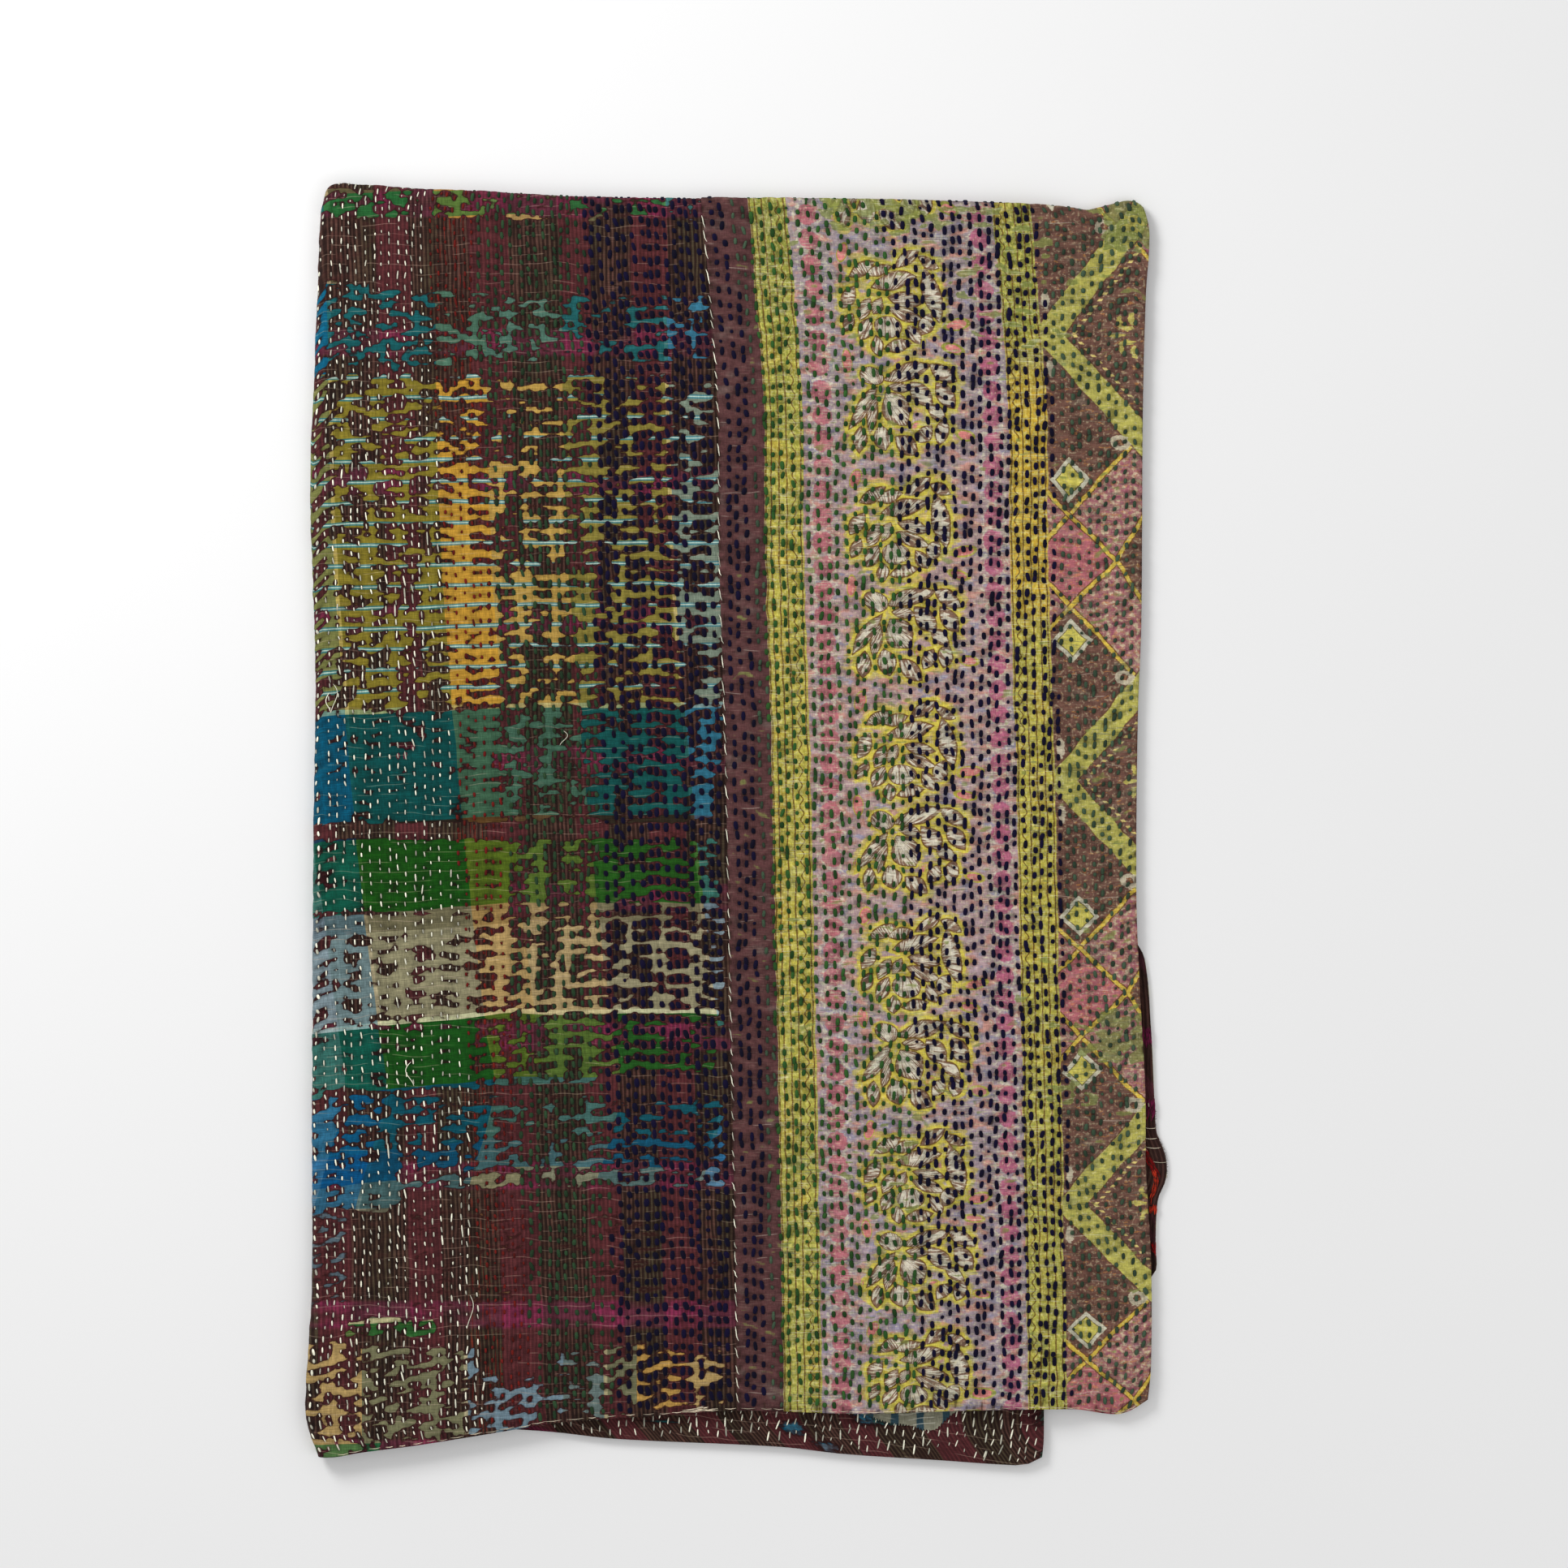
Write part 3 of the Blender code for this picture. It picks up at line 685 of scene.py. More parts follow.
class Painter:
    """Short words for the nodes of one material."""

    def __init__(self, name, roughness, sheen=0.03):
        self.material = bpy.data.materials.new(name)
        self.material.use_nodes = True
        self.tree = self.material.node_tree
        self.shader = self.tree.nodes["Principled BSDF"]
        self.shader.inputs["Roughness"].default_value = roughness
        self.shader.inputs["Specular IOR Level"].default_value = 0.12
        self.shader.inputs["Sheen Weight"].default_value = sheen
        self.shader.inputs["Sheen Roughness"].default_value = 0.6

    def put(self, socket, value):
        if value is None:
            return
        if isinstance(value, bpy.types.NodeSocket):
            self.tree.links.new(value, socket)
        elif isinstance(value, (tuple, list)) and len(value) == 3 and socket.type == "RGBA":
            socket.default_value = (*value, 1)
        else:
            socket.default_value = value

    def node(self, kind, out=0, settings=(), **inputs):
        made = self.tree.nodes.new(kind)
        for key, value in settings:
            setattr(made, key, value)
        for key, value in inputs.items():
            self.put(made.inputs[key.replace("_", " ")], value)
        return made.outputs[out]

    def read(self, name, vector=True):
        made = self.tree.nodes.new("ShaderNodeAttribute")
        made.attribute_name = name
        return made.outputs["Vector" if vector else "Fac"]

    def math(self, operation, a, b=None, c=None):
        made = self.tree.nodes.new("ShaderNodeMath")
        made.operation = operation
        for socket, value in zip(made.inputs, (a, b, c)):
            self.put(socket, value)
        return made.outputs[0]

    def by(self, a, b):
        return self.math("MULTIPLY", a, b)

    def plus(self, a, b):
        return self.math("ADD", a, b)

    def less(self, a, b):
        return self.math("SUBTRACT", a, b)

    def line(self, value, slope, start):
        """A value times a slope, from a start."""
        return self.math("MULTIPLY_ADD", value, slope, start)

    def size(self, value):
        """A value without its sign."""
        return self.math("ABSOLUTE", value)

    def repeat(self, value, length):
        """How far a place is into its repeat."""
        return self.math("FLOORED_MODULO", value, length)

    def wave(self, value, length):
        """A wave from -1 to 1 of the length given."""
        return self.math("SINE", self.by(value, 2 * math.pi / length))

    def lay(self, colour, share, strength, tone):
        """A colour with a tone laid over it, by a share and a strength."""
        return self.mix(self.by(share, strength), colour, tone)

    def layers(self, colour, rows):
        """A colour with rows of (share, strength, tone) laid over it in turn."""
        for row in rows:
            colour = self.lay(colour, *row)
        return colour

    def parts(self, vector):
        made = self.tree.nodes.new("ShaderNodeSeparateXYZ")
        self.put(made.inputs[0], vector)
        return made.outputs[0], made.outputs[1]

    def join(self, x, y, z=0.0):
        made = self.tree.nodes.new("ShaderNodeCombineXYZ")
        for socket, value in zip(made.inputs, (x, y, z)):
            self.put(socket, value)
        return made.outputs[0]

    def vector(self, operation, a, b):
        made = self.tree.nodes.new("ShaderNodeVectorMath")
        made.operation = operation
        self.put(made.inputs[0], a)
        self.put(made.inputs[1], b)
        return made.outputs[0]

    def step(self, value, low, high):
        """0 at low to 1 at high, soft between; low may be over high."""
        made = self.tree.nodes.new("ShaderNodeMapRange")
        made.interpolation_type = "SMOOTHSTEP"
        flip = low > high
        self.put(made.inputs["Value"], value)
        made.inputs["From Min"].default_value = min(low, high)
        made.inputs["From Max"].default_value = max(low, high)
        made.inputs["To Min"].default_value = 1.0 if flip else 0.0
        made.inputs["To Max"].default_value = 0.0 if flip else 1.0
        return made.outputs[0]

    def band(self, value, low, high, soft=0.6):
        """1 between two places, 0 outside."""
        rising = self.step(value, low - soft, low + soft)
        return self.by(rising, self.step(value, high + soft, high - soft))

    def mix(self, share, a, b, blend="MIX"):
        made = self.tree.nodes.new("ShaderNodeMix")
        made.data_type = "RGBA"
        made.blend_type = blend
        self.put(made.inputs["Factor"], share)
        colours = [s for s in made.inputs if s.type == "RGBA"]
        self.put(colours[0], a)
        self.put(colours[1], b)
        return next(s for s in made.outputs if s.type == "RGBA")

    def noise(self, vector, size, detail=2.0, rough=0.5, distort=0.0):
        """Noise whose spots are about the size given, as a length or one for each direction."""
        size = size if isinstance(size, tuple) else (size, size, size)
        scaled = self.vector("MULTIPLY", vector, tuple(1 / s for s in size))
        return self.node("ShaderNodeTexNoise", Vector=scaled, Scale=1.0, Detail=detail,
                         Roughness=rough, Distortion=distort)

    def spots(self, vector, size, detail, low, high):
        """Spots of noise: 0 below its low level, 1 above its high level, soft between."""
        return self.step(self.noise(vector, size, detail), low, high)

    def drift(self, value, vector, size, amount):
        """A place moved to and fro by noise, over the amount given in all."""
        return self.plus(value, self.line(self.noise(vector, size, 1.0), amount, -amount / 2))

    def ramp(self, value, rows, span, crisp=True):
        """A colour by place, from rows of (start, colour), for places from 0 to span."""
        made = self.tree.nodes.new("ShaderNodeValToRGB")
        stops = made.color_ramp.elements
        made.color_ramp.interpolation = "CONSTANT" if crisp else "LINEAR"
        self.put(made.inputs[0], self.math("DIVIDE", value, span))
        while len(stops) < len(rows):
            stops.new(0.5)
        for stop, (start, colour) in zip(stops, rows):
            stop.position = start / span
        for stop, (start, colour) in zip(stops, rows):
            stop.color = (*colour, 1) if isinstance(colour, tuple) else (colour, colour, colour, 1)
        return made.outputs[0]

    def bump(self, height, strength, distance):
        made = self.tree.nodes.new("ShaderNodeBump")
        made.inputs["Strength"].default_value = strength
        made.inputs["Distance"].default_value = distance
        self.put(made.inputs["Height"], height)
        self.put(self.shader.inputs["Normal"], made.outputs[0])

    def finish(self, colour):
        made = self.tree.nodes.new("ShaderNodeGamma")
        made.inputs["Gamma"].default_value = DISPLAY_GAMMA
        self.put(made.inputs["Color"], colour)
        self.put(self.shader.inputs["Base Color"], made.outputs[0])
        return self.material


def rgb(red, green, blue):
    return (red / 255, green / 255, blue / 255)


# The under-cloth, a check woven of these bands: start in millimetres, colour, and how warm
UNDER_WEFTS = [
    (0, rgb(84, 68, 52), 1.0),
    (5, rgb(30, 84, 44), 0.0),
    (32, rgb(84, 70, 54), 1.0),
    (92, rgb(14, 78, 88), 0.0),
    (176, rgb(132, 110, 34), 1.0),
    (491, rgb(140, 150, 108), 0.5),
    (494, rgb(0, 63, 68), 0.0),
    (600, rgb(30, 20, 18), 0.0),
    (610, rgb(15, 66, 12), 0.1),
    (681, rgb(190, 184, 146), 0.0),
    (684, rgb(106, 96, 76), 0.3),
    (701, rgb(140, 130, 106), 0.3),
    (787, rgb(184, 182, 146), 0.0),
    (790, rgb(15, 68, 18), 0.1),
    (849, rgb(190, 190, 160), 0.0),
    (852, rgb(0, 66, 88), 0.0),
    (905, rgb(0, 62, 98), 0.0),
    (937, rgb(60, 88, 98), 0.3),
    (958, rgb(96, 88, 80), 0.8),
    (1056, rgb(180, 172, 132), 0.0),
    (1060, rgb(28, 80, 34), 0.0),
    (1074, rgb(112, 106, 86), 1.0),
    (1172, rgb(22, 84, 50), 0.0),
]
UNDER_WEFT_SPAN = 1200
UNDER_JUMP = 204
UNDER_JUMP_RIGHT = 70  # and its right part this much more
# start in millimetres past the left of the quilt, colour, and its share in warm and in cool rows
UNDER_WARPS = [
    (0, rgb(14, 90, 142), 0.24, 0.38),
    (37, rgb(180, 168, 120), 0.45, 0.10),
    (40, rgb(66, 80, 44), 0.30, 0.16),
    (138, rgb(182, 132, 54), 0.66, 0.30),
    (184, rgb(172, 138, 80), 0.68, 0.34),
    (255, rgb(96, 100, 66), 0.46, 0.20),
    (352, rgb(190, 180, 140), 0.55, 0.20),
    (355, rgb(84, 122, 156), 0.56, 0.50),
]
UNDER_WARP_SPAN = 444
# The top cloth: start in millimetres, share of brown stripes against plain maroon
TOP_WARPS = [
    (0, 1.0), (52, 0.0), (84, 1.0), (138, 0.0), (176, 1.0), (223, 0.0), (252, 1.0), (290, 0.0),
    (325, 1.0), (366, 0.0),
]
TOP_WARP_SPAN = 400
# Fine dark stripes, magenta rows and pale lines: from one to the next, width and place
PIN_PITCH = 3.9
MAGENTA_PITCH = 129.5
MAGENTA_WIDE = 26.0
LINE_PITCH = 19.6
LINE_FIRST = 179
LINE_FROM, LINE_TO = 176, 491
UNDER_WARP_FROM = 24  # how far into its columns the check starts at the left


def thin_threads(paint, vector, pitch, wide, seed, amount):
    """Broken light threads that run across the cloth."""
    x, y = paint.parts(vector)
    sway = paint.noise(paint.join(x, paint.by(y, 0.3), seed), 42.0, 1.0)
    place_y = paint.plus(y, paint.by(sway, 12.0))
    line = paint.math("PINGPONG", place_y, pitch / 2)
    thin = paint.step(line, wide, wide * 0.3)
    broken = paint.noise(paint.join(x, y, seed + 3), (34.0, 11.0, 9.0), 1.0)
    return paint.by(thin, paint.step(broken, 0.60 - amount, 0.66 - amount))


def scratches(paint, vector, seed, low, high):
    """Clusters of fine pale threads across the cloth, where its weft has come bare."""
    x, y = paint.parts(vector)
    moved = paint.join(x, y, seed)
    lines = paint.spots(moved, (22.0, 1.15, 1.0), 1.0, 0.54, 0.64)
    groups = paint.spots(moved, (34.0, 15.0, 3.0), 2.0, low, high)
    return paint.by(lines, groups)


def weave(paint, vector):
    """Fine relief and shade of threads both ways."""
    warp = paint.noise(vector, (0.8, 7.0, 1.0), 1.0)
    weft = paint.noise(vector, (7.0, 0.8, 1.0), 1.0)
    return paint.plus(warp, weft)


def times(paint, colour, shade):
    """A colour made lighter or darker by a factor."""
    return paint.mix(1.0, colour, paint.join(shade, shade, shade), "MULTIPLY")


def plaid_top(paint, grain):
    """The colours of the dark plaid on top."""
    x, y = paint.parts(grain)
    x = paint.drift(x, grain, (30.0, 60.0, 1.0), 5.0)
    share = paint.ramp(paint.repeat(x, TOP_WARP_SPAN), TOP_WARPS, TOP_WARP_SPAN)
    pin = paint.wave(x, PIN_PITCH)
    uneven = paint.noise(grain, (3.4, 60.0, 1.0), 2.0)
    pin = paint.step(paint.plus(pin, paint.line(uneven, 5.0, -2.7)), 0.9, -0.8)
    hue = paint.noise(grain, (30.0, 190.0, 1.0), 1.0)
    olive = paint.step(hue, 0.40, 0.64)
    brown = paint.mix(olive, rgb(82, 57, 50), rgb(68, 59, 45))
    brown = paint.lay(brown, pin, 0.86, rgb(38, 25, 22))
    maroon = paint.lay(rgb(88, 45, 47), pin, 0.42, rgb(42, 22, 24))
    ground = paint.mix(share, maroon, brown)
    row = paint.repeat(paint.less(y, 5.0), MAGENTA_PITCH)
    patchy = paint.noise(grain, (60.0, 20.0, 1.0), 2.0)
    magenta = paint.band(row, 0.8, MAGENTA_WIDE, 2.6)
    strength = paint.by(magenta, paint.step(patchy, 0.28, 0.60))
    pink = paint.mix(share, rgb(128, 46, 76), rgb(98, 48, 62))
    pink = paint.lay(pink, pin, 0.45, rgb(62, 30, 38))
    colour = paint.mix(strength, ground, pink)
    red_threads = paint.spots(grain, (1.3, 26.0, 1.0), 1.0, 0.60, 0.68)
    red = paint.by(paint.band(x, 108.0, 140.0, 3.0), red_threads)
    return paint.lay(colour, red, 0.55, rgb(140, 34, 26))


def under_check(paint, under):
    """The colours of the check below, where the top has worn away."""
    x, y = paint.parts(under)
    x = paint.drift(x, under, 40.0, 3.0)
    y = paint.drift(y, under, 55.0, 5.0)
    other = paint.line(paint.step(x, 284, 285), UNDER_JUMP_RIGHT, UNDER_JUMP)
    jump = paint.line(paint.step(y, 1066, 1067), other, UNDER_WARP_FROM)
    column = paint.repeat(paint.plus(x, jump), UNDER_WARP_SPAN)
    row = paint.repeat(y, UNDER_WEFT_SPAN)
    weft = paint.ramp(row, [row[:2] for row in UNDER_WEFTS], UNDER_WEFT_SPAN)
    warmth = paint.ramp(row, [row[::2] for row in UNDER_WEFTS], UNDER_WEFT_SPAN)
    warp = paint.ramp(column, [row[:2] for row in UNDER_WARPS], UNDER_WARP_SPAN)
    warm = paint.ramp(column, [row[:3:2] for row in UNDER_WARPS], UNDER_WARP_SPAN)
    cool = paint.ramp(column, [row[::3] for row in UNDER_WARPS], UNDER_WARP_SPAN)
    share = paint.mix(warmth, cool, warm)
    colour = paint.mix(share, weft, warp)
    line = paint.repeat(paint.less(y, LINE_FIRST), LINE_PITCH)
    inside = paint.band(y, LINE_FROM + 2, LINE_TO - 2)
    dark = paint.by(paint.band(line, 0.5, 4.4, 0.4), inside)
    pale = paint.by(paint.band(line, 1.7, 3.0, 0.3), inside)
    blue = paint.lay(rgb(30, 92, 100), share, 0.45, rgb(110, 150, 175))
    colour = paint.lay(colour, dark, 0.85, blue)
    colour = paint.lay(colour, pale, 0.8, rgb(176, 190, 174))
    along_warp = paint.noise(under, (3.0, 70.0, 1.0), 2.0)
    along_weft = paint.noise(under, (46.0, 1.1, 1.0), 2.0)
    dim = paint.line(along_warp, 0.36, 0.58)
    return times(paint, colour, paint.line(along_weft, 0.46, dim))


def plaid_cloth():
    paint = Painter("worn_plaid_cotton", 0.92)
    grain, under = paint.read("grain"), paint.read("under")
    bare, hold, ridge_shade = (paint.read(name, False) for name in ("bare", "hold", "ridge_shade"))
    jitter = paint.noise(grain, (4.2, 2.6, 1.0), 2.0)
    left = paint.plus(bare, paint.line(jitter, 0.24, -0.12))
    kept = paint.step(left, -0.02, 0.02)
    # Painted shadow: a dark band on both sides of each worn patch's edge, standing in for the frayed
    # top cloth's shadow on the check below
    edge_shadow = paint.step(paint.size(left), 0.10, 0.01)
    shaded = paint.mix(paint.step(left, 0.34, 0.0), plaid_top(paint, grain), rgb(60, 28, 28))
    nearby = paint.by(paint.step(left, 0.40, 0.02), 0.42)
    top = paint.mix(nearby, plaid_top(paint, grain), shaded)
    colour = paint.mix(kept, under_check(paint, under), top)
    colour = paint.layers(colour, (
        (thin_threads(paint, grain, 9.0, 0.50, 2.0, 0.12), 0.40, rgb(170, 150, 132)),
        (scratches(paint, grain, 5.0, 0.60, 0.74), 0.28, rgb(150, 120, 110)),
        # painted shadow along the edges of the worn patches
        (edge_shadow, 0.62, rgb(36, 16, 16)),
        # Painted shade: the cloth darkened in the dimples where the stitches draw it down
        (paint.step(hold, 0.62, 1.0), 0.40, rgb(30, 14, 16)),
    ))
    fine = weave(paint, grain)
    shade = paint.line(fine, 0.46, 0.38)
    # Painted light and shade: the ridges between the stitch rows lightened and the furrows darkened in
    # the colour, with the weave's shade
    colour = times(paint, colour, paint.line(ridge_shade, 0.30, shade))
    height = paint.plus(paint.by(kept, 0.6), paint.by(fine, 0.35))
    paint.bump(height, 0.7, 0.0006)
    return paint.finish(colour)


# Petals of the two flowers: middle from the flower's root, length, width, and turn in degrees
SWIRL_PETALS = [
    (-18.0, -22.8, 25, 8.0, -27),
    (-1.9, -21.5, 23, 7.2, -15),
    (24.6, -31.0, 25, 7.6, -33),
    (45.0, -28.0, 20, 7.2, 28),
    (11.4, -11.8, 39, 10.5, -12),
    (45.6, 0.0, 44, 12.4, 78),
    (-32.3, 2.8, 22, 9.0, -57),
    (-17.6, 12.3, 21, 8.2, -60),
    (-5.3, 9.5, 16, 7.2, -62),
    (20.0, 4.7, 27, 8.2, 12),
    (19.0, 16.5, 29, 8.6, 22),
    (-33.8, 24.7, 17, 7.2, -62),
    (-19.0, 30.4, 20, 9.0, -60),
    (-9.5, 45.0, 15, 8.4, 84),
    (10.4, 45.6, 24, 7.6, -10),
    (26.7, 35.2, 18, 8.4, 58),
    (38.0, 26.7, 19, 9.8, -62),
]
SWIRL_BUDS = [(2.8, 29.0, 26, 20.0, 0)]
BUD_PETALS = [
    (23.5, -13.6, 42, 10.4, -17),
    (57.0, -13.0, 26, 9.6, 32),
    (16.0, 0.6, 20, 7.0, 8),
    (36.0, 6.3, 26, 12.0, 48),
    (58.5, 6.4, 25, 11.0, 54),
    (-18.8, 18.4, 40, 8.6, -52),
    (-10.5, 24.7, 28, 7.0, -76),
    (11.4, 19.0, 29, 18.0, 57),
    (-22.8, 46.0, 21, 8.6, -85),
    (-1.6, 43.8, 21, 12.6, 78),
    (20.8, 51.4, 24, 11.0, 38),
    (38.0, 41.0, 18, 8.6, -55),
    (54.0, 38.6, 20, 9.4, -75),
    (49.4, 22.0, 19, 8.4, 35),
]
BUD_BUDS = [(-9.6, -10.4, 23, 17.4, 20)]
# Their roots: right of the seam, and down the repeat
SWIRL_ROOT = (160.5, 193.0)
BUD_ROOT = (153.5, 75.0)
# Loops between the flowers: right of the seam, down the repeat, length, width and turn
LOOPS = [
    (121.6, 51.0, 9.0, 19.0, 0),
    (227.0, 20.0, 23.0, 10.0, -8),
    (222.0, 41.0, 19.0, 8.0, 10),
    (126.0, 155.0, 10.0, 17.0, 20),
    (229.0, 118.0, 17.0, 9.0, 12),
    (120.0, 108.0, 8.0, 13.0, -10),
    (184.0, 110.0, 12.0, 11.0, 0),
]
# The petals are this much longer and wider than in the tables
PETAL_LONGER = 1.14
PETAL_WIDER = 1.46


def petal(paint, place_at, row, rounded):
    """Distance outside one petal, below 0 inside it, in millimetres."""
    x, y, long, wide, degrees = row
    long, wide = long * (1 if rounded else PETAL_LONGER), wide * (1 if rounded else PETAL_WIDER)
    made = paint.tree.nodes.new("ShaderNodeMapping")
    made.vector_type = "TEXTURE"
    paint.put(made.inputs["Vector"], place_at)
    made.inputs["Location"].default_value = (x, y, 0)
    made.inputs["Rotation"].default_value = (0, 0, math.radians(degrees))
    made.inputs["Scale"].default_value = (long / 2, wide / 2, 1)
    x, y = paint.parts(made.outputs[0])
    y = paint.by(y, y) if rounded else paint.size(y)
    shape = paint.line(x, x, y)
    return paint.line(shape, wide / 2, -wide / 2)


def flower(paint, x, cell, root, petals, buds):
    """Distance outside a flower's petals, and its hatching, which runs out from its root."""
    down = paint.less(cell, root[1])
    down = paint.math("WRAP", down, PRINT_REPEAT * 0.65, -PRINT_REPEAT * 0.35)
    place_at = paint.join(paint.less(x, root[0]), down)
    distances = [petal(paint, place_at, row, False) for row in petals]
    distances += [petal(paint, place_at, row, True) for row in buds]
    right, down = paint.parts(place_at)
    angle = paint.math("ARCTAN2", paint.less(down, 4.0), right)
    length = (("operation", "LENGTH"),)
    away = paint.node("ShaderNodeVectorMath", out=1, settings=length, Vector=place_at)
    rays = paint.join(paint.by(angle, 22.0), paint.math("DIVIDE", away, 16.0))
    return nearest(paint, distances), paint.noise(rays, (1.15, 1.0, 1.0), 1.0)


def nearest(paint, distances):
    least = distances[0]
    for other in distances[1:]:
        least = paint.math("MINIMUM", least, other)
    return least


def disc_column(paint, x, y, middle, radius, ragged):
    """Distance outside a column of discs, and the place beside the nearest one."""
    local = paint.repeat(y, PRINT_REPEAT / DISCS)
    local = paint.less(local, PRINT_REPEAT / DISCS / 2)
    side = paint.less(x, middle)
    square = paint.line(side, side, paint.by(local, local))
    away = paint.less(paint.math("SQRT", square), radius)
    return paint.plus(away, ragged), side, local


def yellow_bands(paint, x, y, start, wide, lines, twist):
    """The mask of a yellow band and of the thin lines in it."""
    inside = paint.band(x, start, start + wide, 0.5)
    marks = 0.0
    for at in lines:
        near = paint.size(paint.less(x, start + at))
        marks = paint.math("MAXIMUM", marks, paint.step(near, 0.95, 0.35))
    swing = paint.wave(y, 13.0)
    bend = paint.line(swing, 1.7, start + twist)
    near = paint.size(paint.less(x, bend))
    marks = paint.math("MAXIMUM", marks, paint.step(near, 0.9, 0.3))
    return inside, paint.by(marks, inside)


def along_line(paint, x, y, from_x, from_y, to_x, to_y):
    """Distance to the line through two places."""
    long = math.hypot(to_x - from_x, to_y - from_y)
    nx, ny = -(to_y - from_y) / long, (to_x - from_x) / long
    level = paint.line(x, nx, -(from_x * nx + from_y * ny))
    return paint.line(y, ny, level)


# The outer field's repeat, seen from the middle of its pink diamond: 0 there, 200 at the zigzag
OUTER_START = 306
OUTER_REPEAT = 400
OUTER_MIDDLE = 228
ZIGZAG_HALF = 11.5
DISCS = 9  # in one repeat of the print


def lattice_line(paint, colour, line, shown, ragged):
    """A thin yellow line with brown edges."""
    away = paint.line(ragged, 0.7, paint.size(line))
    dark = paint.by(paint.step(away, 3.1, 2.5), shown)
    light = paint.by(paint.step(away, 2.0, 1.4), shown)
    colour = paint.mix(dark, colour, rgb(104, 70, 46))
    return paint.mix(light, colour, rgb(190, 162, 66))


def spot(paint, x, y, at_x, at_y, reach_x, reach_y):
    """How far places are from a spot's middle, 1 on its rim."""
    side = paint.math("DIVIDE", paint.less(x, at_x), reach_x)
    down = paint.math("DIVIDE", paint.less(y, at_y), reach_y)
    square = paint.line(side, side, paint.by(down, down))
    return paint.math("SQRT", square)


def outer_field(paint, x, y, ragged):
    """Zigzag, lattice and diamonds at the strip's outer side."""
    x = paint.less(x, OUTER_START)
    turned = paint.repeat(paint.less(y, OUTER_MIDDLE), OUTER_REPEAT)
    y = paint.math("PINGPONG", turned, OUTER_REPEAT / 2)
    first = along_line(paint, x, y, 64, 0, 20, 41.5)
    second = along_line(paint, x, y, 20, 41.5, 66, 90)
    third = along_line(paint, x, y, 64, 0, 78, 22)
    rose = paint.by(paint.step(first, -0.4, 0.4), paint.step(second, 0.4, -0.4))
    dotted = paint.by(paint.step(first, 0.4, -0.4), paint.step(second, 0.4, -0.4))
    dotted = paint.by(dotted, paint.step(third, -0.4, 0.4))
    corner = paint.by(paint.step(first, -0.4, 0.4), paint.step(second, -0.4, 0.4))
    check = paint.by(paint.wave(x, 8.6), paint.wave(y, 8.0))
    cells = paint.noise(paint.join(x, y), (5.6, 4.6, 1.0), 2.0)
    check = paint.line(cells, 5.4, paint.line(check, 0.32, -2.7))
    print_on = paint.math("MAXIMUM", dotted, corner)
    clouds = paint.noise(paint.join(x, y), (9.0, 5.0, 1.0), 2.0)
    colour = paint.mix(clouds, rgb(86, 60, 54), rgb(108, 78, 66))
    curls = paint.noise(paint.join(x, y), (8.0, 3.2, 1.0), 3.0)
    colour = paint.lay(colour, paint.step(curls, 0.60, 0.66), 0.6, rgb(168, 112, 62))
    tinted = paint.mix(paint.step(curls, 0.50, 0.66), rgb(146, 100, 98), rgb(160, 112, 82))
    colour = paint.mix(print_on, colour, tinted)
    colour = paint.lay(colour, print_on, paint.step(check, 0.30, 0.62), rgb(172, 150, 126))
    colour = paint.lay(colour, print_on, paint.step(check, -0.30, -0.62), rgb(138, 82, 92))
    rosy = paint.mix(paint.step(curls, 0.52, 0.64), rgb(158, 92, 98), rgb(172, 108, 88))
    colour = paint.mix(rose, colour, rosy)
    colour = lattice_line(paint, colour, second, 1.0, ragged)
    colour = lattice_line(paint, colour, first, 1.0, ragged)
    colour = lattice_line(paint, colour, third, paint.step(x, 62.5, 63.5), ragged)
    tilted = paint.plus(paint.size(paint.less(x, 20)), paint.size(paint.less(y, 72)))
    tilted = paint.plus(tilted, paint.by(ragged, 0.7))
    for reach, tone in (
        (20.4, rgb(96, 70, 56)),
        (19.4, rgb(180, 176, 156)),
        (14.4, rgb(104, 92, 58)),
        (13.2, rgb(184, 174, 82)),
    ):
        colour = paint.mix(paint.step(tilted, reach + 0.4, reach - 0.4), colour, tone)
    zigzag = along_line(paint, x, y, 6, 200, 90, 107)
    away = paint.plus(paint.size(zigzag), paint.by(ragged, 0.6))
    colour = paint.mix(paint.step(away, ZIGZAG_HALF + 1.2, ZIGZAG_HALF + 0.5), colour, rgb(92, 64, 50))
    colour = paint.mix(paint.step(away, ZIGZAG_HALF, ZIGZAG_HALF - 0.8), colour, rgb(160, 154, 78))
    dots_at = paint.size(paint.less(zigzag, ZIGZAG_HALF + 6.4))
    beads = paint.wave(y, 5.8)
    dots = paint.by(paint.step(dots_at, 1.9, 1.1), paint.step(beads, 0.1, 0.6))
    colour = paint.mix(dots, colour, rgb(194, 176, 106))
    sprig = nearest(paint, [
        spot(paint, x, y, 78, 193, 7.5, 2.6),
        spot(paint, x, y, 85, 186, 3.2, 6.0),
        spot(paint, x, y, 74, 187, 2.6, 3.4),
        spot(paint, x, y, 71, 200, 8.0, 2.4),
    ])
    sprig = paint.line(curls, 2.2, paint.line(ragged, 0.3, sprig))
    colour = paint.mix(paint.step(sprig, 2.2, 1.9), colour, rgb(172, 160, 84))
    ring = paint.size(paint.less(spot(paint, x, y, 68, 105, 8.5, 7.0), 0.7))
    ring = paint.line(curls, 2.4, paint.line(ring, 2.6, -1.1))
    lens = spot(paint, x, y, 6, 170, 4, 9)
    pale = paint.math("MINIMUM", ring, lens)
    pale = paint.plus(pale, paint.by(ragged, 0.34))
    colour = paint.lay(colour, paint.step(pale, 1.0, 0.8), 0.8, rgb(184, 178, 154))
    return colour


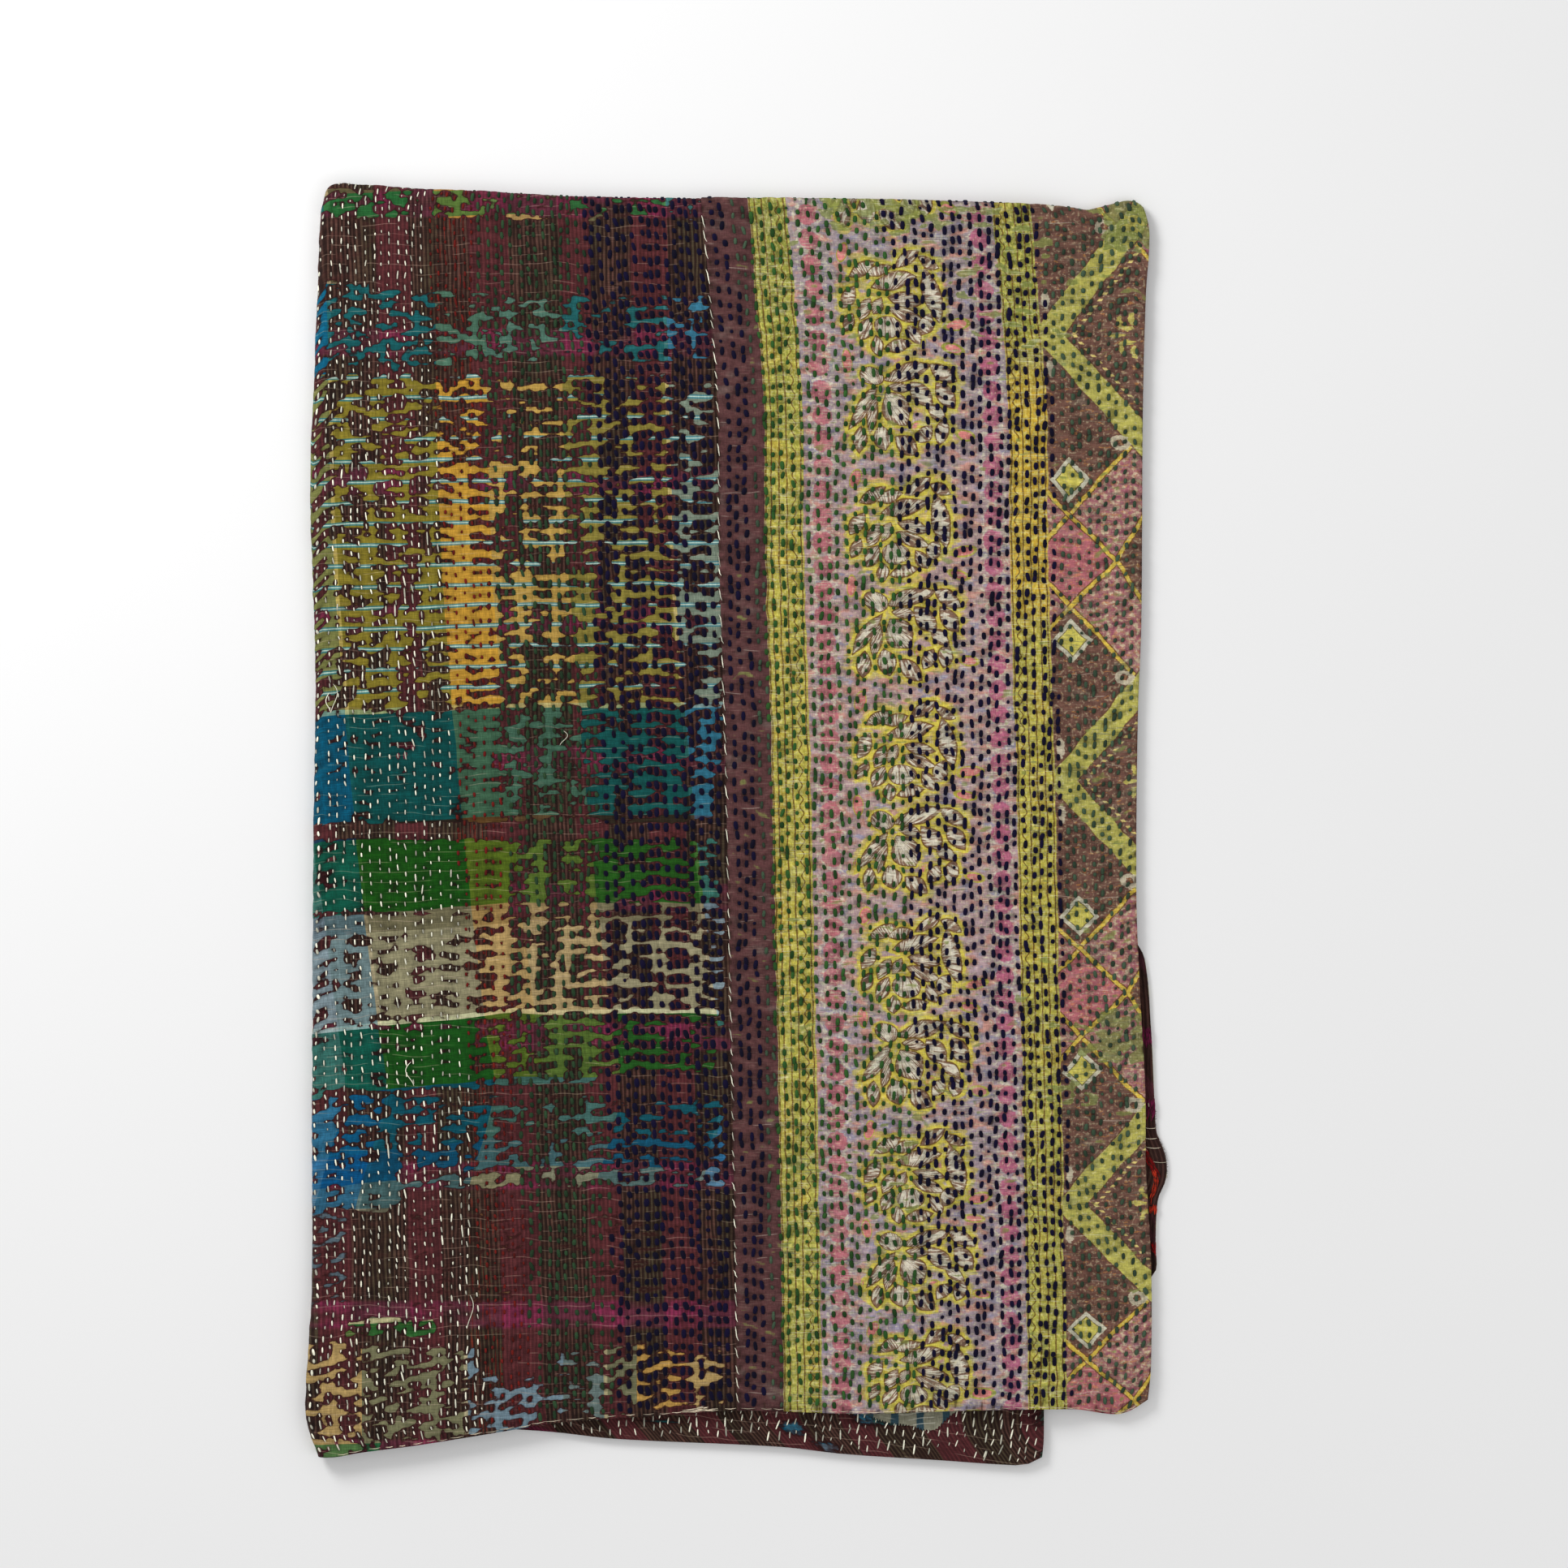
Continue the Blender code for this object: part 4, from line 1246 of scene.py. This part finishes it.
def strip_cloth():
    paint = Painter("printed_sari_cotton", 0.9)
    printed, grain = paint.read("printed"), paint.read("grain")
    bare, hold, ridge_shade = (paint.read(name, False) for name in ("bare", "hold", "ridge_shade"))
    x, y = paint.parts(printed)
    ragged = paint.line(paint.noise(grain, (3.4, 2.6, 1.0), 2.0), 2.6, -1.3)
    x = paint.drift(x, grain, 26.0, 4.4)
    x = paint.plus(x, paint.by(ragged, 0.3))
    y = paint.drift(y, grain, 31.0, 7.0)
    down = paint.plus(y, 200)

    tone = paint.ramp(down, [
        (0, rgb(136, 124, 124)),
        (260, rgb(144, 128, 134)),
        (420, rgb(156, 130, 130)),
        (720, rgb(156, 130, 130)),
        (900, rgb(148, 130, 136)),
        (1300, rgb(146, 130, 138)),
    ], 1500, crisp=False)
    spots = paint.noise(grain, (16.0, 9.0, 1.0), 2.0)
    field = paint.mix(paint.step(spots, 0.50, 0.62), tone, rgb(168, 122, 112))
    field = paint.mix(paint.step(spots, 0.42, 0.34), field, rgb(132, 124, 140))
    yellow = paint.ramp(down, [
        (0, rgb(112, 116, 54)),
        (300, rgb(138, 136, 58)),
        (430, rgb(158, 148, 62)),
        (760, rgb(160, 150, 62)),
        (960, rgb(150, 146, 66)),
        (1300, rgb(146, 144, 66)),
    ], 1500, crisp=False)
    warm = paint.spots(grain, (20.0, 46.0, 1.0), 1.0, 0.50, 0.68)
    yellow = paint.lay(yellow, warm, 0.4, rgb(172, 136, 54))

    colour = field
    dabs = paint.spots(grain, (5.0, 3.4, 1.0), 1.0, 0.50, 0.58)
    blotched = paint.by(ragged, 1.9)
    for middle, radius, pink in ((96, 9.4, rgb(162, 92, 100)), (255, 9.0, rgb(156, 82, 106))):
        away, side, local = disc_column(paint, x, y, middle, radius, blotched)
        beside = paint.by(paint.band(away, 0.2, 4.6, 0.5), dabs)
        colour = paint.lay(colour, beside, 0.75, rgb(184, 178, 158))
        colour = paint.lay(colour, paint.step(away, 0.4, -0.8), 0.86, pink)

    cell = paint.repeat(y, PRINT_REPEAT)
    swirl, swirl_hatch = flower(paint, x, cell, SWIRL_ROOT, SWIRL_PETALS, SWIRL_BUDS)
    bud, bud_hatch = flower(paint, x, cell, BUD_ROOT, BUD_PETALS, BUD_BUDS)
    hatch = paint.mix(paint.math("LESS_THAN", swirl, bud), bud_hatch, swirl_hatch)
    away = paint.line(ragged, 0.25, paint.math("MINIMUM", swirl, bud))
    loop = nearest(paint, [petal(paint, paint.join(x, cell), row, True) for row in LOOPS])
    colour = paint.mix(paint.step(loop, -0.6, -1.8), colour, rgb(184, 110, 106))
    colour = paint.mix(paint.band(loop, -1.6, 1.5, 0.4), colour, yellow)
    gold = paint.mix(0.55, yellow, rgb(204, 184, 74))
    far = paint.line(paint.noise(grain, (15.0, 7.0, 1.0), 2.0), 30.0, away)
    colour = paint.lay(colour, paint.step(far, 24.0, 20.0), 0.62, gold)
    halo = paint.step(paint.line(ragged, 1.4, away), 4.6, 3.6)
    colour = paint.mix(halo, colour, gold)
    depth = paint.step(away, -7.5, -0.4)
    strokes = paint.step(paint.line(depth, 0.15, hatch), 0.55, 0.63)
    inner = paint.lay(rgb(188, 180, 162), strokes, 0.9, rgb(104, 76, 62))
    colour = paint.mix(paint.step(away, -0.1, -0.8), colour, inner)
    colour = paint.lay(colour, paint.band(away, -0.9, 0.5, 0.35), 0.9, rgb(92, 64, 36))

    flecks = paint.spots(grain, (2.6, 4.0, 1.0), 2.0, 0.46, 0.60)
    bright = paint.by(flecks, 0.6)
    for start, wide, lines, twist, warm_to in (
        (42, 36, (1.2, 6.0, 13.0, 20.0, 33.5), 27.0, 200),
        (270, 36, (1.6, 12.5, 20.0, 27.0, 33.5), 6.6, 470),
    ):
        inside, marks = yellow_bands(paint, x, y, start, wide, lines, twist)
        golden = paint.by(paint.band(down, 250, warm_to, 40), 0.75)
        ground = paint.mix(golden, yellow, rgb(186, 146, 50))
        colour = paint.mix(inside, colour, paint.mix(bright, ground, rgb(190, 182, 96)))
        colour = paint.lay(colour, marks, 0.92, rgb(92, 68, 32))

    inner_strip = paint.mix(paint.noise(grain, (8.0, 40.0, 1.0), 2.0), rgb(72, 45, 46), rgb(88, 59, 58))
    colour = paint.mix(paint.step(x, 42.4, 41.6), colour, inner_strip)
    outside = paint.step(x, OUTER_START - 0.4, OUTER_START + 0.4)
    colour = paint.mix(outside, colour, outer_field(paint, x, y, ragged))

    mottled = paint.mix(paint.noise(grain, (3.0, 2.0, 1.0), 2.0), rgb(84, 94, 48), rgb(124, 130, 74))
    fewer = paint.line(paint.band(x, 42, 305, 1.0), 0.42, 0.13)
    past_inner = paint.step(x, 41, 43)
    dull = paint.line(past_inner, 0.42, 0.08)
    rim_spots = paint.spots(grain, (3.2, 3.0, 1.0), 1.0, 0.48, 0.62)
    rimmed = paint.by(paint.band(hold, 0.10, 0.34, 0.08), rim_spots)
    colour = paint.layers(colour, (
        (paint.step(bare, 0.02, -0.02), 0.78, mottled),
        (paint.spots(grain, (40.0, 26.0, 2.0), 3.0, 0.58, 0.70), 0.22, rgb(120, 134, 120)),
        (scratches(paint, grain, 9.0, 0.46, 0.60), fewer, rgb(184, 182, 156)),
        (scratches(paint, grain, 31.0, 0.46, 0.60), dull, rgb(96, 98, 82)),
        (thin_threads(paint, grain, 21.0, 0.6, 7.0, 0.02), 0.4, rgb(190, 186, 170)),
        (rimmed, paint.line(past_inner, 0.40, 0.04), rgb(196, 188, 150)),
        # Painted shade: the cloth darkened in the dimples where the stitches draw it down
        (paint.step(hold, 0.62, 1.0), 0.50, rgb(46, 34, 26)),
    ))
    fine = weave(paint, grain)
    mottle = paint.line(paint.noise(grain, (5.0, 3.6, 1.0), 3.0), 0.5, 0.16)
    shade = paint.line(fine, 0.42, mottle)
    # Painted light and shade: the ridges between the stitch rows lightened and the furrows darkened in
    # the colour, with the weave's shade
    colour = times(paint, colour, paint.line(ridge_shade, 0.34, shade))
    paint.bump(fine, 0.6, 0.0004)
    return paint.finish(colour)


def lining_cloth():
    paint = Painter("striped_lining_cotton", 0.93)
    place_at = paint.node("ShaderNodeTexCoord", out=3)
    x, y = paint.parts(paint.vector("MULTIPLY", place_at, TO_MM))
    flat = paint.join(x, y)
    swayed = paint.drift(x, flat, 14.0, 3.0)
    row = paint.math("MODULO", paint.plus(swayed, 1000 - 0.2), 23.8)
    stripe = paint.band(row, 2.0, 9.0, 0.5)
    colour = paint.mix(paint.noise(flat, 6.0, 2.0), rgb(118, 116, 98), rgb(150, 148, 130))
    colour = paint.mix(stripe, colour, rgb(52, 74, 84))
    light = thin_threads(paint, flat, 5.5, 0.6, 1.0, 0.10)
    colour = paint.lay(colour, light, 0.7, rgb(206, 204, 190))
    fine = weave(paint, flat)
    shade = paint.line(fine, 0.4, 0.6)
    colour = times(paint, colour, shade)
    paint.bump(fine, 0.8, 0.0005)
    return paint.finish(colour)


def back_cloth():
    """The reverse: dark plaid, mixed a third of the way towards a deep brown."""
    paint = Painter("plain_back_cotton", 0.92)
    grain = paint.read("grain")
    colour = plaid_top(paint, paint.vector("ADD", grain, (90.0, 60.0, 0.0)))
    colour = paint.mix(0.35, colour, rgb(60, 36, 34))
    fine = weave(paint, grain)
    shade = paint.line(fine, 0.5, 0.5)
    colour = times(paint, colour, shade)
    paint.bump(fine, 0.7, 0.0005)
    return paint.finish(colour)


def thread_material(name, colour):
    paint = Painter("thread_" + name, 0.8)
    each = paint.tree.nodes.new("ShaderNodeNewGeometry").outputs["Random Per Island"]
    spread, least = (0.46, 0.66) if name == "white" else (0.4, 0.75)
    shade = paint.line(each, spread, least)
    tinted = times(paint, colour, shade)
    place_at = paint.vector("MULTIPLY", paint.node("ShaderNodeTexCoord", out=3), TO_MM)
    strands = paint.noise(place_at, (0.5, 2.4, 1.0), 1.0)
    lift = paint.line(strands, 0.5, 0.75)
    tinted = times(paint, tinted, lift)
    paint.bump(strands, 0.5, 0.0003)
    return paint.finish(tinted)


# Pieces


def dress(piece, material, replaced=()):
    piece.data.materials.append(material)
    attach(piece, "root")
    if replaced:
        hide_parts(*replaced)


def sew(name, routes, radius, material, sides=5):
    """Threads along the routes, in one mesh, dressed in their material."""
    dress(thread_mesh(name, routes, radius, sides), material)


COVER = 0.0006  # the body of the quilt lies this far below its finely meshed face
# Sizes of the meshes' faces, and their count round a fold
FINE_ACROSS = 0.00205
FINE_ALONG = 0.00240
FOLD_STEPS = 8
COARSE = 0.012


def fold_stations(arc):
    return np.linspace(-arc, arc, FOLD_STEPS + 1)


def make_quilt(threads):
    along_fine = np.concatenate((fold_stations(TOP_ARC)[:-1], stations(TOP_ARC, HEM_AT, FINE_ALONG)))
    side = stations(SIDE_ARC, SEAM_AT + SEAM_LAP, FINE_ACROSS)
    side = np.concatenate((fold_stations(SIDE_ARC)[:-1], side))
    strip = stations(SEAM_AT, SIDE_EDGE_AT, FINE_ACROSS)
    plaid, printed = plaid_cloth(), strip_cloth()

    face = fine_face("plaid_face", side, along_fine, PLY / 2, threads, (), 3, WEAR)
    dress(face, plaid, ("quilted_ground",))

    top = PLY / 2 + SEAT + PANEL
    outer = fine_face("strip_face", strip, along_fine, top, threads, (-1, 1), 5, STRIP_STAINS)
    dress(outer, printed, ("border_panel",))

    across = np.concatenate((
        -stations(SIDE_ARC, SIDE_ARC + FLAT_X["lower"], COARSE)[::-1],
        fold_stations(SIDE_ARC)[1:-1],
        stations(SIDE_ARC, SEAM_AT, COARSE),
        stations(SEAM_AT, SIDE_EDGE_AT - 0.0006, COARSE)[1:],
    ))
    along = np.concatenate((
        -stations(TOP_ARC, HEM_AT, COARSE / 2)[::-1],
        fold_stations(TOP_ARC)[1:-1],
        stations(TOP_ARC, HEM_AT - 0.0006, COARSE),
    ))
    covered = smooth((across + SIDE_ARC) / 0.003)[:, None] * smooth((along + TOP_ARC) / 0.003)[None, :]
    x, y = np.meshgrid(across / MM, along / MM, indexing="ij")
    bare = ranked(soft_noise(np.random.default_rng(8), x, y, 30, 14)).ravel() - 0.12
    bare = np.concatenate((bare, bare))
    body = closed_sheet("quilt_body", across, along, -PLY / 2, PLY / 2 - COVER * covered, bare)
    dress(body, plaid, ("quilted_ground",))
    body.data.materials.append(back_cloth())
    rows, columns = len(across), len(along)
    index = np.zeros(len(body.data.polygons), np.int32)
    index[: (rows - 1) * (columns - 1)] = 1
    body.data.polygons.foreach_set("material_index", index)

    under_along = along[along <= 0]
    under_strip = stations(SEAM_AT, SIDE_EDGE_AT, COARSE)
    under = closed_sheet("strip_under", under_strip, under_along, PLY / 2 + SEAT, top, 1.0)
    dress(under, printed, ("border_panel",))

    scrap = make_scrap()
    dress(scrap, lining_cloth(), ("lining_scrap",))
    return face, outer, body, under, scrap


# The torn lining: how far it is tucked in, the run in which it turns down, and its gaps
SCRAP_TUCK = 0.040
SCRAP_TURN = 0.012
SCRAP_CLEAR = 0.001
SCRAP_SEAT = 0.0004


def make_scrap():
    """The torn lining below the lower hem, its edge frayed in small tongues."""
    inside = MID_HEIGHT + SIDE_RADIUS
    resting = MID_HEIGHT - SIDE_RADIUS + TOP_RADIUS + PLY / 2 + SCRAP_SEAT + SCRAP / 2
    x = np.linspace(SCRAP_REACH[0][0], SCRAP_REACH[-1][0], 120)
    share = np.linspace(0, 1, 46)
    over, under = (read(LOWER_HEM["upper", way], x) for way in ("over", "under"))
    fray = 0.0009 * np.sin(x * 2300) + 0.0007 * np.sin(x * 5100 + 1)
    end = over + read(SCRAP_REACH, x) + fray
    run = (over - SCRAP_TUCK)[:, None] + (end - over + SCRAP_TUCK)[:, None] * share[None, :]
    wide = np.broadcast_to(x[:, None], run.shape)
    middle = mix(inside, resting, smooth((run - under[:, None] - SCRAP_CLEAR) / SCRAP_TURN))
    ripple = 0.0003 * np.sin(wide * 420 + run * 160) * smooth((run - under[:, None]) / 0.01)
    layers = []
    for off in (-0.0002, 0.0002):
        height = settled(wide, -run, middle + off + np.maximum(ripple, -0.0001))
        layers.append(np.stack((wide, -run, height), axis=-1) + SHIFT)
    points = np.concatenate([layer.reshape(-1, 3) for layer in layers])
    return link("lining_tongue", points, shell_faces(*run.shape))


def make_stitches(threads, materials):
    """Running stitches on the top ply, one mesh for each thread on each cloth."""
    levels = {"plaid": PLY / 2, "strip": PLY / 2 + SEAT + PANEL}
    seam = SEAM_AT / MM
    inside = (threads.along > -3) & (threads.along < HEM_AT / MM - 5)
    inside &= (threads.across > 1 - SIDE_ARC / MM) & (threads.across < SIDE_EDGE_AT / MM - 2.4)
    clear = {
        "plaid": inside & (threads.across < seam - 3),
        "strip": inside & (threads.across > seam + 2.6),
    }
    for index, (cloth, name, *_) in enumerate(STITCH_ZONES):
        pick = clear[cloth] & (threads.zone == index)
        piece = stitch_mesh(
            f"stitches_{cloth}_{name}_{index}", threads.across[pick], threads.along[pick],
            threads.length[pick], threads.width[pick], threads.lean[pick], levels[cloth] - 0.00010,
        )
        dress(piece, materials[name])


def make_seam_threads(materials):
    """Off-white whip stitches over the strip's turned edge, with slack between them."""
    rng = np.random.default_rng(21)
    routes = []
    along = TOP_ARC + 0.012
    top = PLY / 2 + SEAT + PANEL
    while along < HEM_AT - 0.010:
        long = rng.uniform(0.006, 0.014)
        lean = rng.uniform(-0.8, 0.4)
        out = rng.uniform(0.0012, 0.0030)
        routes.append([
            (SEAM_AT - out, along, PLY / 2 + 0.0001),
            (SEAM_AT - 0.0014, along + long * 0.3, top - 0.0001),
            (SEAM_AT - 0.0009, along + long * 0.7, top + 0.0004),
            (SEAM_AT + 0.0004 + 0.001 * lean, along + long, top + 0.0003),
        ])
        along += long + rng.uniform(0.001, 0.014)
    sew("seam_whip_stitches", routes, 0.00052, materials["white"])


# Where the hem is frayed, and threads that have come loose: across, along, swing and length
FRAY_ACROSS = (0.338, 0.364)
LOOSE_THREADS = [
    (0.017, 0.448, 0.0050, 0.026),
    (0.013, 0.455, -0.0036, 0.018),
    (0.236, 0.497, 0.0060, 0.014),
    (0.146, 1.010, 0.0040, 0.030),
    (0.092, 0.792, -0.0060, 0.022),
]


def make_hem_threads(materials):
    """Small stitches along the lower hem, and the pale thread that lies on it."""
    rng = np.random.default_rng(22)
    top = PLY / 2
    routes = []
    across = SIDE_ARC + 0.012
    while across < SIDE_EDGE_AT - 0.010:
        lift = SEAT + PANEL if across > SEAM_AT - 0.004 else 0.0
        long = rng.uniform(0.007, 0.016)
        away = rng.uniform(0.0004, 0.0016)
        routes.append([
            (across, HEM_AT - away, top + lift - 0.0001),
            (across + long / 2, HEM_AT - away + 0.0006, top + lift + 0.0002),
            (across + long, HEM_AT - away, top + lift - 0.0001),
        ])
        across += long + rng.uniform(0.0, 0.006)
    sew("hem_threads", routes, 0.00038, materials["cream"])

    routes = []
    for _ in range(16):
        across, along = rng.uniform(*FRAY_ACROSS), HEM_AT - rng.uniform(0.0006, 0.0040)
        long, drop = rng.uniform(0.004, 0.013), rng.uniform(-0.0014, 0.0010)
        routes.append([
            (across + long * share, min(along + drop * share, HEM_AT - 0.0003), top + lift)
            for share, lift in ((0, 0.0002), (0.3, 0.0007), (0.7, 0.0008), (1, 0.0003))
        ])
    sew("frayed_hem_threads", routes, 0.00034, materials["cream"])

    routes = []
    for across, along, wide, long in LOOSE_THREADS:
        share = np.linspace(0, 1, 12)
        swing = across + wide * np.sin(share * 4.2) * (1 - 0.5 * share)
        lift = top + 0.0003 + 0.0008 * np.sin(share * math.pi)
        routes.append(list(zip(swing, along + long * share, lift)))
    sew("loose_threads", routes, 0.00036, materials["white"])


# Threads on the ply that shows past the strip: colour, from and to down the side, from and to out
SIDE_THREADS = [
    ("magenta", 0.788, 0.803, 0.0006, 0.0095),
    ("magenta", 0.858, 0.872, 0.0006, 0.0150),
    ("red", 0.873, 0.926, 0.0006, 0.0070),
    ("orange", 0.926, 0.952, 0.0006, 0.0045),
    ("orange", 0.960, 0.963, 0.0006, 0.0080),
    ("red", 0.997, 1.006, 0.0006, 0.0075),
]
SIDE_PULLED = (0.887, 0.897, 0.906, 0.920)
SIDE_SHORT = (0.862, 0.876, 0.888, 0.905)
SIDE_OFF = -PLY / 2 - 0.0003


def side_station(along, out):
    """Across the under ply: so far out from the strip's edge above it."""
    past = read(SIDE_EDGE["upper", "under"], along) - read(SIDE_EDGE["upper", "over"], along)
    return SIDE_EDGE_AT - np.maximum(past - out, 0.0003)


def make_under_threads(materials):
    """Stitches on the lower plies' strip that shows below the hem, and red ones at the side."""
    rng = np.random.default_rng(23)
    left, right = -(SIDE_ARC + FLAT_X["lower"]) / MM, -(SIDE_ARC + 0.150) / MM
    shown = Stitches(24, left + 2, right, -HEM_AT / MM + 2, -HEM_AT / MM + 64)
    length = rng.choice((3.6, 7.0, 10.5), len(shown.across), p=(0.35, 0.4, 0.25))
    pick = shown.along - length / 2 > -HEM_AT / MM + 1.5
    piece = stitch_mesh("stitches_lower_ply", shown.across[pick], shown.along[pick], length[pick],
                        length[pick] / 14 + 0.8, shown.lean[pick] - 0.24, PLY / 2 + 0.0002)
    dress(piece, materials["white"])
    for name, start, end, near, far in SIDE_THREADS:
        routes = []
        for out in np.arange(near, far, 0.0011):
            along = start + rng.uniform(0, 0.003)
            while along < end:
                long = rng.uniform(0.004, 0.011)
                across = side_station(along, out) + rng.uniform(-0.0003, 0.0003)
                turned = side_station(along + long, out) + rng.uniform(-0.0003, 0.0003)
                routes.append([
                    (across, -along, SIDE_OFF),
                    ((across + turned) / 2, -along - long / 2, SIDE_OFF - 0.0004),
                    (turned, -along - long, SIDE_OFF),
                ])
                along += long + 0.0005
        sew(f"side_{name}_{int(start / MM)}", routes, 0.0006, materials[name])

    routes = []
    for along in SIDE_PULLED:
        outs = np.linspace(0.006, 0.019, 7)
        sag = along + 0.0012 * np.sin(np.linspace(0, 2.6, 7)) - 0.001
        routes.append([(side_station(s, out), -s, SIDE_OFF - 0.0003) for s, out in zip(sag, outs)])
    for along in SIDE_SHORT:
        routes.append([(side_station(along + k * 0.0022, 0.0050 + k * 0.0004),
                        -along - k * 0.0022, SIDE_OFF - (0.0004, 0.0008, 0.0004)[k]) for k in range(3)])
    sew("side_pale_threads", routes, 0.00028, materials["cream"])

    routes = []
    for along in rng.uniform(0.870, 0.935, 70):
        end = SIDE_EDGE_AT - 0.0004
        out = rng.uniform(0.0008, 0.0022)
        drift = rng.uniform(-0.0008, 0.0008)
        bend = (end + out / 2, -along - drift, 0.0)
        routes.append([(end, -along, 0.0), bend, (end + out, -along + drift, 0.0)])
    sew("side_fringe", routes, 0.00014, materials["dark"], sides=4)


# Stage, light and camera

# The photograph's frame: its width, the middle of the frame and of the quilt, in its pixels
PHOTO_WIDE = 1932
PHOTO_MIDDLE = (966, 966)
QUILT_MIDDLE = (907.5, 1015)
PIXEL = 0.00076
LENS = 100.0
SENSOR = 36.0


def make_stage():
    bpy.ops.mesh.primitive_plane_add(size=12, location=(0, 0, -0.0005))
    floor = bpy.context.object
    floor.name = "floor"
    paint = Painter("pale_floor", 0.95, 0.0)
    place_at = paint.node("ShaderNodeTexCoord", out=3)
    grain = paint.noise(place_at, 0.6, 2.0)
    tone = paint.line(grain, 0.01, 0.965)
    floor.data.materials.append(paint.finish(paint.join(tone, tone, tone)))

    world = bpy.data.worlds.new("soft_studio")
    bpy.context.scene.world = world
    world.use_nodes = True
    world.node_tree.nodes["Background"].inputs["Color"].default_value = (1, 1, 1, 1)
    world.node_tree.nodes["Background"].inputs["Strength"].default_value = 0.54

    for name, place_at, size, power in (
        ("key", (-1.8, 1.9, 1.9), 1.2, 58),
        ("fill", (2.0, -1.2, 2.6), 2.2, 16),
    ):
        light = bpy.data.lights.new(name, "AREA")
        light.size = size
        light.energy = power
        lamp = bpy.data.objects.new(name, light)
        bpy.context.scene.collection.objects.link(lamp)
        lamp.location = place_at
        aim = bpy.data.objects.new(name + "_aim", None)
        bpy.context.scene.collection.objects.link(aim)
        track = lamp.constraints.new("TRACK_TO")
        track.target = aim


def make_camera():
    camera = bpy.data.cameras.new("camera")
    camera.lens = LENS
    camera.sensor_width = SENSOR
    camera.sensor_fit = "HORIZONTAL"
    eye = bpy.data.objects.new("camera", camera)
    bpy.context.scene.collection.objects.link(eye)
    eye.location = (
        (PHOTO_MIDDLE[0] - QUILT_MIDDLE[0]) * PIXEL,
        (QUILT_MIDDLE[1] - PHOTO_MIDDLE[1]) * PIXEL,
        PHOTO_WIDE * PIXEL * LENS / SENSOR,
    )
    bpy.context.scene.camera = eye
    bpy.context.scene.view_settings.view_transform = "Standard"


def main():
    make_stage()
    make_camera()
    threads = Stitches(11, -SIDE_ARC / MM - ROW_PITCH, SIDE_EDGE_AT / MM + 6, -14, HEM_AT / MM + 14)
    materials = {name: thread_material(name, colour) for name, colour in STITCH_COLOURS.items()}
    pieces = make_quilt(threads)
    make_stitches(threads, materials)
    make_seam_threads(materials)
    make_hem_threads(materials)
    make_under_threads(materials)


main()
